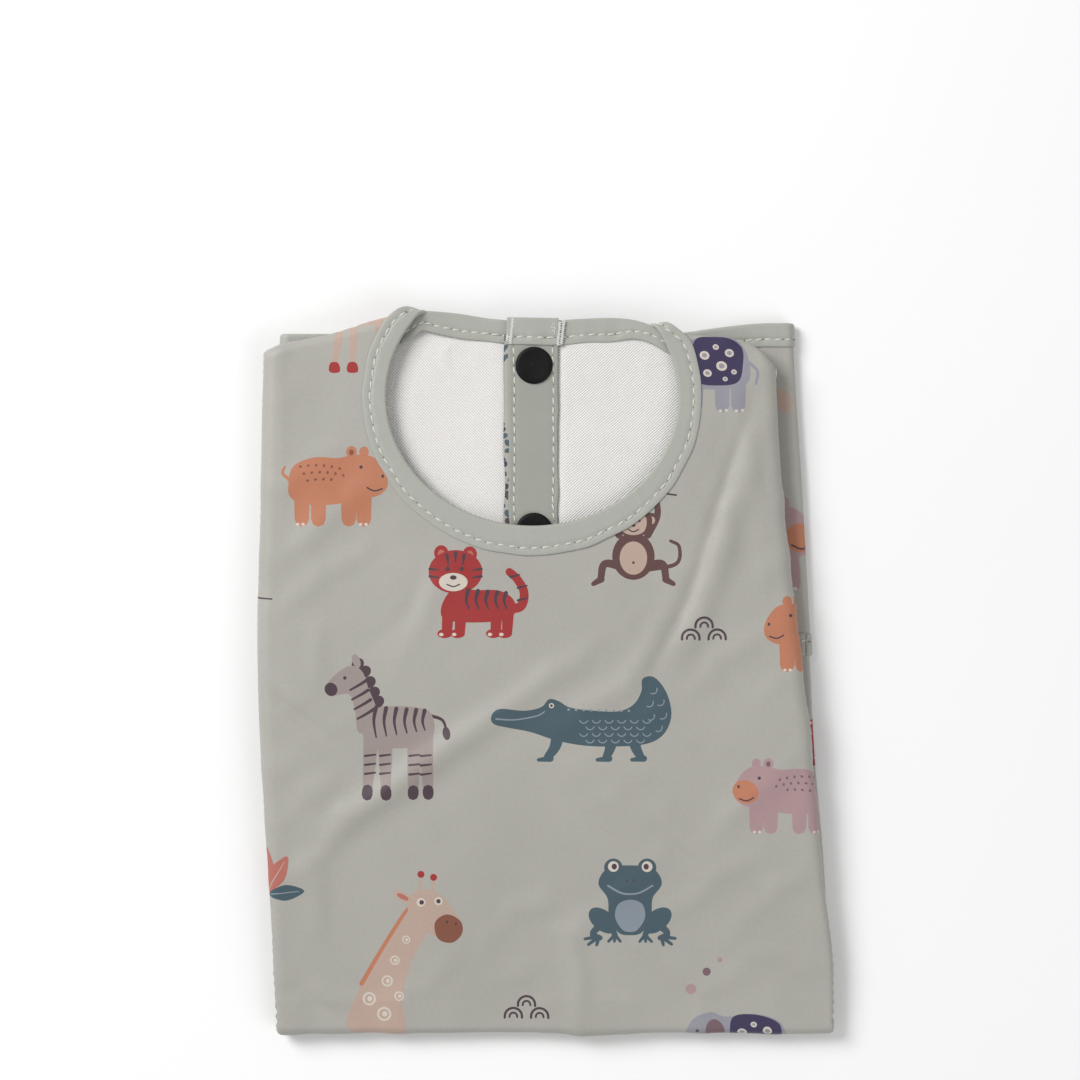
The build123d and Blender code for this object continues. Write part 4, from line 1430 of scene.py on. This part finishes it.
def hem_corners():
    """The two rounded corners of the hem in (u, v), left one first, each from the free edge or towards it."""
    y0 = HEM_Y - HEM_CORNER
    a = np.radians(np.linspace(0, 90, 14))
    ul, ur = lower_free(y0, FREE_LEFT), lower_free(y0, FREE_RIGHT)
    r = HEM_CORNER - HEM_INSET
    left = [(ul + HEM_CORNER - HEM_CORNER * math.cos(t), flat_v(y0 + r * math.sin(t))) for t in a]
    right = [(ur - HEM_CORNER + HEM_CORNER * math.cos(t), flat_v(y0 + r * math.sin(t))) for t in a[::-1]]
    return left, right


def lower_outline():
    """From the bottom fold to the hem and back, in (u, v)."""
    left, right = lower_sides(20)
    return [*left, *hem_corners()[0], *hem_corners()[1], *right]


def bend_outline():
    """The stretch of cloth that goes round the bottom fold, in (u, v)."""
    vs = np.linspace(FOLD_Y, FOLD_Y - FOLD_ARC, 9)
    left = [(float(bend_free(np.array(v), FREE_LEFT)), v) for v in vs]
    right = [(float(bend_free(np.array(v), FREE_RIGHT)), v) for v in vs[::-1]]
    return [*left, *right]


front_upper = panel("front_upper", upper_outline(), front_cloth, artwork, 1.8, [neck_loop(1.2)])
finish_piece(front_upper, "upper_half", "printed_fabric", "front_panel_upper")
BEND_BLEND = ("upper_half", "lower_half", (0, 0, 0.0054), (0, 0, 0.0035))
front_bend = panel("front_bend", bend_outline(), front_cloth, artwork, 0.95)
finish_piece(front_bend, BEND_BLEND, "printed_fabric", "front_fold_bend")
front_lower = panel(
    "front_lower", lower_outline(), front_cloth, artwork, 2.5, bends=((-93, -84, 0.8), (76, 99, 0.8))
)
finish_piece(front_lower, "lower_half", "printed_fabric", "front_panel_lower")


# ---------------------------------------------------------------- bindings of the front cloth
def along(place, flat_path, inward=None, step=0.5):
    """A path on a mapped sheet, and the direction into the cloth beside it."""
    line = evenly(np.asarray(flat_path, float), step)
    tangent = unit(np.gradient(line, axis=0))
    normal = np.column_stack([-tangent[:, 1], tangent[:, 0]]) if inward is None else inward
    here = place(*line.T)
    return here, unit(place(*(line + normal * 0.2).T) - here)


def from_pocket_mouth(y):
    """0 above the pocket's mouth, 1 where the pocket doubles the hem."""
    return smoothstep(POCKET_MOUTH_Y - 4, POCKET_MOUTH_Y + 6, y)


def hem_cloth(u, v):
    """Middle of the doubled hem: the lower half and the pocket on it, held together."""
    y = lower_y(v)
    doubled = from_pocket_mouth(y)
    main = LOWER_Z - 0.4 * doubled
    flap = LOWER_FLAP_Z + 0.28 * doubled
    x, share = section(u, y, grown(LOWER_EDGES, HEM_OUTSET), (flap - main) / 2)
    return np.stack([x, y - slant(x, y), main + share * (flap - main)], axis=-1)


def hem_binding():
    """Round the lower half: down one free edge, along the hem and up the other."""
    left, right = lower_sides(24)
    flat = evenly([*left, *hem_corners()[0][1:], *hem_corners()[1][:-1], *right], 2.0)
    path, side = along(hem_cloth, flat)
    thick = 1.4 + 0.75 * from_pocket_mouth(path[:, 1])
    obj, rows = band("hem_binding_strip", path, side, HEM_WIDTH, thick, 31, step=1.2)
    finish_piece(obj, "lower_half", "binding", "hem_binding")
    sewing = stitch_row("hem_stitches", rows, 32, (1, -1))
    finish_piece(sewing, "lower_half", "thread")
    return obj, sewing


def free_edge_bindings():
    """The side edges from the bottom fold up to the armholes, and their turns round the fold."""
    made = []
    for word, x, sign in (("left", FREE_LEFT, 1), ("right", FREE_RIGHT, -1)):
        vs = np.linspace(FOLD_Y, -99, 12)
        flat = np.array([(upper_free(v, x), v) for v in vs])[::-1]
        inward = np.tile([sign, 0.0], (len(evenly(flat, 0.5)), 1))
        path, side = along(cloth, flat, inward)
        obj, rows = band(f"side_edge_{word}", path, side, BINDING_WIDTH, 1.35, 41)
        finish_piece(obj, "upper_half", "binding", *(["side_binding_upper"] if sign > 0 else []))
        sewing = stitch_row(f"side_edge_stitches_{word}", rows, 42, (1, -1))
        finish_piece(sewing, "upper_half", "thread")
        vs = np.linspace(FOLD_Y, FOLD_Y - FOLD_ARC, 16)
        flat = np.column_stack([bend_free(vs, x), vs])
        inward = np.tile([sign, 0.0], (len(evenly(flat, 0.25)), 1))
        path, side = along(cloth, flat, inward, 0.25)
        turned, _ = band(f"side_bend_{word}", path, side, BINDING_WIDTH, 1.2, 43, step=0.3)
        finish_piece(turned, BEND_BLEND, "binding", *(["side_fold_bend"] if sign > 0 else []))
        made += [obj, sewing, turned]
    return made


hem_pieces = hem_binding()
edge_pieces = free_edge_bindings()


# ---------------------------------------------------------------- crumb pocket
POCKET_RAMP = (82.0, 18.0)  # distances from the centre for the start and the full width of the pocket's gape; the pieces are only baked in place, not opened


def pocket_cloth(u, v):
    """The pocket, wrapped round the lower half; v is the lower half's."""
    y = lower_y(v)
    turn = np.full_like(y, (POCKET_FLAP_Z - POCKET_Z) / 2)
    x, share = section(u, y, grown(LOWER_EDGES, POCKET_OUTSET), turn)
    sag = 0.12 * slow_swell(u, v) * smoothstep(HEM_Y - 4, HEM_Y - 20, y)
    z = POCKET_Z + share * (POCKET_FLAP_Z - POCKET_Z) + sag * (1 - share)
    return np.stack([x, y - slant(x, y), z], axis=-1)


def pocket_edge(y, side):
    """Flat distance at which the pocket's side fold ends, on the left (-1) or right (1)."""
    reach, arc = side_fold((POCKET_FLAP_Z - POCKET_Z) / 2)
    return edge_x(grown(LOWER_EDGES, POCKET_OUTSET), y, side) - side * reach + side * arc


def pocket_outer(side):
    """The pocket's outer line in (u, v), from the mouth to the hem, on one side."""
    free = FREE_LEFT if side < 0 else FREE_RIGHT
    ys = np.linspace(POCKET_MOUTH_Y + 2, HEM_Y - HEM_CORNER, 8)
    straight = [(lower_free(y, free) - side * 2.0, flat_v(y)) for y in ys]
    corner = hem_corners()[0] if side < 0 else hem_corners()[1][::-1]
    return straight + [(u - side * 2.0, v + 1.5) for u, v in corner[1:]]


def pocket_pieces():
    """The pocket's four panels, two in front and two on the side flaps, and the binding of their mouth."""
    mouth, hem = POCKET_MOUTH_Y + 2, HEM_Y - HEM_INSET - 1.5
    for word, side in (("left", -1), ("right", 1)):
        ys = np.linspace(mouth, hem, 14)
        fold = [(float(pocket_edge(y, side)), flat_v(y)) for y in ys]
        outline = [(0, flat_v(mouth)), *fold, (0, flat_v(hem))]
        bend = (-97, -83, 0.8) if side < 0 else (76, 96, 0.8)
        middle = panel(f"pocket_front_{word}", outline, pocket_cloth, artwork, 2.2, bends=[bend])
        gape = ("lower_half", "pocket", *((side * x * MM, 0, 0) for x in POCKET_RAMP))
        finish_piece(middle, gape, "printed_fabric")
        flap = panel(f"pocket_flap_{word}", [*fold, *pocket_outer(side)[::-1]], pocket_cloth, artwork, 2.0)
        finish_piece(flap, "lower_half", "printed_fabric", f"pocket_side_{word}")
        folded = float(pocket_edge(POCKET_MOUTH_Y, side))
        free = float(lower_free(POCKET_MOUTH_Y, FREE_LEFT if side < 0 else FREE_RIGHT))
        for part, low, high, where in (
            ("front", 0.0, folded, gape),
            ("flap", folded, free - side * 4, "lower_half"),
        ):
            flat = np.array([(low, flat_v(POCKET_MOUTH_Y)), (high, flat_v(POCKET_MOUTH_Y))])
            count = len(evenly(flat, 0.5))
            path, into = along(pocket_cloth, flat, np.tile([0.0, -1.0], (count, 1)))
            obj, rows = band(f"pocket_edge_{part}_{word}", path, into, BINDING_WIDTH, 1.25, 51)
            finish_piece(obj, where, "binding")
            finish_piece(
                stitch_row(f"pocket_stitches_{part}_{word}", rows, 52, (1, -1), 0.9), where, "thread"
            )
        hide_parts(f"pocket_binding_{word}")
    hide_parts("pocket_centre")
    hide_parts("pocket_binding_centre")


pocket_pieces()


# ---------------------------------------------------------------- neck binding
def neck_binding():
    """Round the front of the neck, with both ends turned over the shoulders."""
    a = np.radians(np.linspace(399.5, 132.0, 260))
    inner = np.column_stack([NECK_X + NECK_INNER[0] * np.cos(a), NECK_Y + NECK_INNER[1] * np.sin(a)])
    outward = unit(np.column_stack([np.cos(a) / NECK_INNER[0], np.sin(a) / NECK_INNER[1]]))
    path = cloth(*inner.T)
    side = unit(cloth(*(inner + outward * 0.3).T) - path)
    width = NECK_BAND[0] + (NECK_BAND[1] - NECK_BAND[0]) * np.clip(-np.sin(a), 0, 1) ** 2
    run = lengths(path)
    width = width * (0.36 + 0.64 * smoothstep(0, 15, np.minimum(run, run[-1] - run)))
    seam = run[np.argmin(np.hypot(path[:, 0] - NECK_SEAM[0], path[:, 1] - NECK_SEAM[1]))]
    obj, rows = band("neck_binding_loop", path, side, width, 1.6, 21, pucker_size=0.07, join=seam)
    finish_piece(obj, "upper_half", "binding", "neck_binding_front")
    sewing = stitch_row("neck_stitches", rows, 22, (1,))
    finish_piece(sewing, "upper_half", "thread")
    return obj, sewing


def back_neck(word, points, seed):
    """A back neck binding; points are (x, top edge y, bottom edge y, z)."""
    x, top, bottom, z = evenly(catmull(points, 8), 0.6).T
    path = np.column_stack([x, top, z])
    side = np.tile([0.0, -1.0, 0.0], (len(x), 1))
    obj, rows = band(
        f"neck_binding_back_{word}_strip", path, side, top - bottom, 1.5, seed, pucker_size=0.13
    )
    finish_piece(obj, "upper_half", "binding", f"neck_binding_back_{word}")
    sewing = stitch_row(f"neck_back_stitches_{word}", rows, seed + 5, (1, -1), 0.8)
    finish_piece(sewing, "upper_half", "thread")
    return obj, sewing


neck_front = neck_binding()
left_z, right_z = BACK_LEFT_Z + LINING_GAP, BACK_RIGHT_Z + LINING_GAP / 2
neck_left = back_neck(
    "left",
    [
        (-52, 115.4, 108.4, left_z + 1.3),
        (-47, 118.6, 111.6, left_z + 1.7),
        (-42, 120.4, 113.6, left_z + 1.7),
        (-36, 120.4, 113.1, left_z + 0.9),
        (-28, 119.6, 111.4, left_z + 0.3),
        (-20, 118.3, 110.4, left_z),
        (-13, 117.7, 109.6, left_z + 0.1),
        (-6, 117.9, 109.4, left_z),
        (1.5, 118.0, 109.4, left_z),
    ],
    61,
)
neck_right = back_neck(
    "right",
    [
        (4.35, 117.4, 108.9, right_z),
        (12, 117.9, 109.6, right_z),
        (22, 118.2, 110.2, right_z + 0.1),
        (30, 117.3, 110.8, right_z + 0.5),
        (37, 114.8, 109.4, right_z + 0.7),
        (45, 110.6, 104.6, right_z + 0.6),
    ],
    62,
)


# ---------------------------------------------------------------- back panels, lining side up
back_swell = ripple(71, 16)
back_fine = ripple(72, 5)


def wrinkle(points, width, u, v):
    """Height of one soft wrinkle of the lining."""
    gap, share = distance_to(catmull(points, 6), u, v)
    return 0.3 * np.exp(-((gap / width) ** 2)) * np.sin(share * math.pi)


def back_left_cloth(u, v):
    """The back panels' printed side is down, so their u runs against x."""
    z = BACK_LEFT_Z + 0.16 * back_swell(u, v) + 0.04 * back_fine(u, v)
    z = z + wrinkle([(30, 112), (34, 106), (32, 100), (24, 98)], 1.6, u, v)
    return np.stack([-u, v, z], axis=-1)


def back_right_cloth(u, v):
    """It dips beside the centre, under the placket."""
    x = -np.asarray(u)
    z = BACK_RIGHT_Z + 0.14 * back_swell(u, v) + 0.04 * back_fine(u, v) - 0.75 * smoothstep(7, 2, x)
    z = z + wrinkle([(-10, 84), (-18, 80), (-30, 76)], 2.5, u, v)
    return np.stack([x, v, z], axis=-1)


back_bottom = left_low[1]
left_panel = panel(
    "back_lining_left",
    [(86, back_bottom), (86, 104), (68, 110), (48, 114.6), (20, 115), (-1.5, 115), (-1.5, back_bottom)],
    back_left_cloth,
    artwork,
    1.6,
)
right_panel = panel(
    "back_lining_right",
    [(0.5, back_bottom), (0.5, 115), (-36, 113.8), (-56, 105.6), (-70, 98), (-76, 80), (-76, back_bottom)],
    back_right_cloth,
    artwork,
    1.6,
)
right_panel.data.materials[len(right_panel.data.materials) - 1] = right_lining  # shell() puts it last
finish_piece(left_panel, "upper_half", "printed_fabric", "back_panel_left")
finish_piece(right_panel, "upper_half", "printed_fabric", "back_panel_right")


# ---------------------------------------------------------------- placket
STRIP_LEFT, STRIP_RIGHT = -12.5, 4.1  # x of the placket's two edges
PEEL = ("upper_half", "closure_flap", (0, 0.054, 0), (0, 0.084, 0))  # up the placket


def placket():
    """The facing strip, with its two rows of stitches, and the printed seam allowance beside it."""
    ys = np.linspace(112.0, back_bottom, 240)
    wander = ripple(81, 14)
    left = STRIP_LEFT + 0.25 * wander(ys, 0)
    z = PLACKET_Z + 0.08 * wander(ys, 50) - 0.25 * smoothstep(100, 60, ys)
    path = np.column_stack([left, ys, z])
    side = np.tile([1.0, 0.0, 0.0], (len(ys), 1))
    width = STRIP_RIGHT - left
    strip, rows = band(
        "placket_strip", path, side, width, 0.9, 82, [1.9, STRIP_RIGHT - STRIP_LEFT - 1.7], True, 0.9
    )
    strip.data.materials[0] = placket_fabric
    sewing = stitch_row("placket_stitches", rows, 83, (1, -1))
    finish_piece(strip, PEEL, "binding", "placket_lower", "placket_bend", "placket_flap")
    finish_piece(sewing, PEEL, "thread")

    def beside(u, v):
        x = STRIP_LEFT - 1.5 + np.asarray(u)
        z = PLACKET_Z - 1.2 - 0.5 * smoothstep(2, 0, u)
        return np.stack([x + 0.2 * wander(v, 30), v, z], axis=-1)

    marks = Drawing()
    rng = np.random.default_rng(84)
    for y in np.arange(30, 84, 2.3):
        ink = ("plum", "dark", "teal")[int(rng.integers(3))]
        middle = rng.uniform(-0.4, 1.8), y + rng.uniform(-0.7, 0.7)
        marks.oval(ink, *middle, rng.uniform(0.5, 1.4), rng.uniform(0.6, 1.5), 30)
    for y in (104, 107.4, 111):
        marks.stroke("teal", [(-0.4, y), (1.2, y + 1.6), (3.0, y + 0.4)], 1.5)
    margin = panel(
        "placket_margin", [(0, back_bottom), (3.4, back_bottom), (3.4, 113), (0, 113)], beside, marks, 0.9
    )
    finish_piece(margin, "upper_half", "printed_fabric")
    return strip, sewing, margin


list(placket())


TAB_BEND = ("upper_half", "closure_flap", (0.0041, 0, 0), (-0.0006, 0, 0))  # across the tab's right end
TAB_TOP, TAB_WIDTH = 118.4, 9.2  # y of the tab's top edge, and how wide the tab is
ON_TAB_Z = PLACKET_Z + 1.0  # height of the threads that lie on the tab


def tab():
    """The neck binding's end across the placket, slightly arched, with its top edge sloping a little."""
    xs = np.linspace(STRIP_LEFT - 0.5, STRIP_RIGHT + 0.1, 40)
    arch = 0.2 * np.sin((xs - xs[0]) / (xs[-1] - xs[0]) * math.pi)
    path = np.column_stack([xs, TAB_TOP - 0.25 * (xs - xs[0]) / 17, PLACKET_Z + 0.05 + arch])
    side = np.tile([0.0, -1.0, 0.0], (len(xs), 1))
    obj, rows = band("neck_binding_tab_strip", path, side, TAB_WIDTH, 1.75, 91, pucker_size=0.12, step=0.5)
    finish_piece(obj, TAB_BEND, "binding", "neck_binding_tab")
    finish_piece(stitch_row("tab_stitches", rows, 92, (1, -1), 1.2), TAB_BEND, "thread")


BAR_PITCH = 0.36  # from one of a bartack's threads to the next


def satin_bar(name, body, bars, seed, *nodes):
    """A bartack: dense threads laid across each of its bars, which are (start, end) points."""
    rng = np.random.default_rng(seed)
    places, directions = [], []
    for start, end in bars:
        start, end = np.array(start, float), np.array(end, float)
        run = end - start
        across = unit(np.array([run[1], -run[0], 0.0]))
        steps = int(np.linalg.norm(run) / BAR_PITCH)
        for k in range(steps):
            zigzag = 0.22 if k % 2 else -0.22
            place = start + run * (k + 0.5) / steps + across * rng.normal(0, 0.05)
            places.append(place + [0, 0, rng.uniform(0, 0.1)])
            directions.append(across + unit(run) * zigzag)
    ups = np.tile([0.0, 0.0, 1.0], (len(places), 1))
    obj = stitches(name, np.array(places), np.array(directions), ups, seed, 1.25, 0.17, white_thread)
    return finish_piece(obj, body, "thread", *nodes)


def loose_end():
    """Thread that has frayed at the tab's right end."""
    spots = (2.6, 116.2), (3.0, 115.4), (2.2, 114.9), (3.1, 114.4), (2.4, 113.8), (2.8, 113.1)
    directions = (1, 0.5, 0), (0.2, 1, 0), (1, -0.4, 0), (0.6, 1, 0), (1, 0.1, 0), (0.3, 1, 0)
    places = np.array([(x, y, ON_TAB_Z + 0.12) for x, y in spots])
    ups = np.tile([0.0, 0.0, 1.0], (len(places), 1))
    obj = stitches("loose_thread", places, np.array(directions), ups, 97, 1.5, 0.15)
    finish_piece(obj, TAB_BEND, "thread")


tab()
loose_end()
satin_bar(
    "bartack_stitches_left",
    "closure_flap",
    [
        ((-10.9, 117.9, ON_TAB_Z), (-11.9, 109.4, ON_TAB_Z + 0.1)),
        ((-12.2, 117.4, ON_TAB_Z - 0.25), (-12.9, 110.6, ON_TAB_Z - 0.2)),
    ],
    95,
    "bartack_left",
)
bar_z = max(ON_TAB_Z, right_z + 0.8)
satin_bar(
    "bartack_stitches_right",
    "upper_half",
    [((6.0, 117.2, bar_z), (5.1, 109.2, bar_z)), ((4.7, 116.8, bar_z), (4.0, 108.9, bar_z))],
    96,
    "bartack_right",
)


# ---------------------------------------------------------------- sleeves and cuffs, laid flat inside
def flat_tube(name, start, end, middle_z, half, shapes, spacing=2.6):
    """A flattened tube along X. start and end are (x, low y, high y); half is its cloth's half height."""
    stations = sorted((start, end))
    xs, lows, highs = np.array(stations, float).T
    across = float((highs - lows).max()) * 2 + 2 * math.pi * half
    length = abs(end[0] - start[0])

    def place(u, v):
        x = np.interp(v, [0, length], [start[0], end[0]])
        low, high = np.interp(x, xs, lows), np.interp(x, xs, highs)
        width = high - low
        around = 2 * width + 2 * math.pi * half
        s = np.asarray(u) / across * around
        turn = math.pi * half
        near_turn = np.clip((s - width) / half, 0, math.pi)
        far_turn = np.clip((s - width - turn - width) / half, 0, math.pi)
        y = np.where(s < width, low + s, high + half * np.sin(near_turn))
        z = np.where(s < width, half, half * np.cos(near_turn))
        back = s > width + turn
        y = np.where(back, high - (s - width - turn), y)
        z = np.where(back, -half, z)
        last = s > width + turn + width
        y = np.where(last, low - half * np.sin(far_turn), y)
        z = np.where(last, -half * np.cos(far_turn), z)
        return np.stack([x, y, middle_z + z], axis=-1)

    outline = [(0.02, 0), (across - 0.02, 0), (across - 0.02, length), (0.02, length)]
    return panel(name, outline, place, shapes, spacing, thickness=min(FABRIC, half * 1.2))


ARMHOLE = (-98, 92)  # lowest and highest y of a sleeve where it is sewn in, and at its mouth
SLEEVE_MOUTH = (-42, 56)
CUFF_OUTSET, CUFF_DEPTH, CUFF_HALF = 0.5, 7, 0.4


def sleeves():
    """Both sleeves, each a tube from its armhole outwards, and the binding round its mouth."""
    middle = (sleeve_low[2] + sleeve_high[2]) / 2
    half = (sleeve_high[2] - sleeve_low[2]) / 2 - FABRIC / 2
    rim = (SLEEVE_MOUTH[0] - CUFF_OUTSET, SLEEVE_MOUTH[1] + CUFF_OUTSET)
    art = []
    for figure, x, y in ((zebra, 90, 26), (frog, 30, 34), (leaves, 150, 30), (tiger, 240, 30)):
        art += placed(figure(), x, y)
    for word, inner, outer in (("left", -14.0, -72.0), ("right", 6.0, 64.0)):
        tube = flat_tube(
            f"sleeve_tube_{word}", (inner, *ARMHOLE), (outer, *SLEEVE_MOUTH), middle, half, art
        )
        finish_piece(tube, "upper_half", "printed_fabric", f"sleeve_{word}")
        end = outer + math.copysign(CUFF_DEPTH, outer)
        cuff = flat_tube(f"cuff_{word}", (outer, *rim), (end, *rim), middle, CUFF_HALF, [], 1.8)
        cuff.data.materials.clear()
        cuff.data.materials.append(binding_fabric)
        cuff.data.polygons.foreach_set("material_index", np.zeros(len(cuff.data.polygons), np.int32))
        finish_piece(cuff, "upper_half", "binding", f"cuff_binding_{word}")


sleeves()


# ---------------------------------------------------------------- side label and snaps
def side_label():
    """A blank woven label, folded in half, sewn in at the pocket's edge."""
    low, high = node_box("side_label")
    ys = np.linspace(low[1], high[1], 60)
    curl = ripple(101, 9)
    path = np.column_stack([np.full(len(ys), high[0]), ys, middle_z("side_label") + 0.08 * curl(ys, 0)])
    side = np.tile([-1.0, 0.0, 0.0], (len(ys), 1))
    width = high[0] - low[0]
    obj, rows = band("side_label_loop", path, side, width, 0.5, 102, [width - 1.4], True, 0.6)
    obj.data.materials[0] = label_fabric
    finish_piece(obj, "lower_half", "label", "side_label")
    finish_piece(stitch_row("label_stitches", rows, 103, (1, -1), 1.2), "lower_half", "thread")


CAP_HEIGHT = 1.15  # of a snap's cap, without its post


def snap_cap(name, node, body):
    """A moulded cap: shallow dish, rounded rim, and the gate mark at its middle."""
    low, high = node_box(node)
    x, y = (low[0] + high[0]) / 2, (low[1] + high[1]) / 2
    radius, height = (high[0] - low[0]) / 2, min(high[2] - low[2], CAP_HEIGHT)
    top = high[2]
    # distance from the middle and height from the cap's top, over the dish, round the rim and back below
    dish = [(0.0, -0.16), (0.35, -0.15), (0.5, -0.19), (1.2, -0.19), (2.6, -0.15), (4.0, -0.06)]
    shoulder = [(4.9, -0.01), (5.4, -0.02), (radius - 0.45, -0.1), (radius - 0.2, -0.24)]
    rim = [(radius - 0.05, -0.45), (radius, -0.7), (radius - 0.12, -height)]
    profile = [*dish, *shoulder, *rim, (radius - 0.8, -height - 0.02), (0.0, -height - 0.02)]
    around = np.linspace(0, 2 * math.pi, 72, endpoint=False)
    verts = [(x, y, top + profile[0][1])]
    for r, z in profile[1:-1]:
        verts += [(x + r * math.cos(a), y + r * math.sin(a), top + z) for a in around]
    verts.append((x, y, top + profile[-1][1]))
    n = len(around)
    faces = [[0, 1 + k, 1 + (k + 1) % n] for k in range(n)]
    for ring in range(len(profile) - 3):
        a, b = 1 + ring * n, 1 + (ring + 1) * n
        faces += [[a + k, b + k, b + (k + 1) % n, a + (k + 1) % n] for k in range(n)]
    a = 1 + (len(profile) - 3) * n
    faces += [[a + k, len(verts) - 1, a + (k + 1) % n] for k in range(n)]
    obj = make_object(name, verts, faces, [snap_black])
    return finish_piece(obj, body, "snap_plastic", node)


side_label()
snap_cap("snap_cap_upper", "snap_upper_inner_cap", "closure_flap")
snap_cap("snap_cap_lower", "snap_lower_inner_cap", "upper_half")
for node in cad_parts:
    if node.startswith("snap_") and not node.endswith("inner_cap"):
        bpy.data.objects[node].data.materials.clear()
        bpy.data.objects[node].data.materials.append(snap_black)


# ---------------------------------------------------------------- light, floor and camera
FLOOR_SIZE, FLOOR_DROP = 2.5, 0.0003
LENS, SENSOR = 85.0, 36.0
FIELD = 0.3586  # metres that the camera sees across, at the front's height
CAMERA_OVER = (-0.002, 0.0442)  # x and y of the point that it looks straight down on
SKY_STRENGTH = 0.42
LIGHTS = (  # name, place, size and power
    ("key", (-1.05, 0.8, 1.15), 0.8, 27),
    ("fill", (1.1, -0.9, 1.2), 1.4, 10),
)


def stage_and_camera():
    """White paper under the bib, a white sky, two soft lamps, and the camera."""
    ground = Nodes("floor_paper")
    coord = ground.add("ShaderNodeTexCoord").outputs["Object"]
    cloud = ground.add("ShaderNodeTexNoise", Vector=coord, Scale=3.0).outputs["Fac"]
    ground.set(Base_Color=ground.ramp(cloud, (0.86, 0.86, 0.86, 1), (0.9, 0.9, 0.9, 1)), Roughness=0.9)
    mesh = bpy.data.meshes.new("floor")
    corners = [(x * FLOOR_SIZE, y * FLOOR_SIZE, 0) for x, y in ((-1, -1), (1, -1), (1, 1), (-1, 1))]
    mesh.from_pydata(corners, [], [(0, 1, 2, 3)])
    mesh.materials.append(ground.material)
    floor = bpy.data.objects.new("floor", mesh)
    floor.location.z = -FLOOR_DROP
    bpy.context.scene.collection.objects.link(floor)
    world = bpy.data.worlds.new("studio")
    bpy.context.scene.world = world
    world.use_nodes = True
    background = world.node_tree.nodes["Background"]
    background.inputs["Color"].default_value = (1, 1, 1, 1)
    background.inputs["Strength"].default_value = SKY_STRENGTH
    bpy.context.scene.view_settings.view_transform = "Standard"
    for name, place, size, power in LIGHTS:
        lamp = bpy.data.lights.new(name, "AREA")
        lamp.shape, lamp.size, lamp.energy = "SQUARE", size, power
        light = bpy.data.objects.new(name, lamp)
        light.location = place
        light.rotation_mode = "QUATERNION"
        light.rotation_quaternion = (-Vector(place)).to_track_quat("-Z", "Y")
        bpy.context.scene.collection.objects.link(light)
    lens = bpy.data.cameras.new("camera")
    lens.lens, lens.sensor_width = LENS, SENSOR
    camera = bpy.data.objects.new("camera", lens)
    camera.location = (*CAMERA_OVER, FRONT_Z * MM + FIELD * LENS / SENSOR)
    bpy.context.scene.collection.objects.link(camera)
    bpy.context.scene.camera = camera


stage_and_camera()
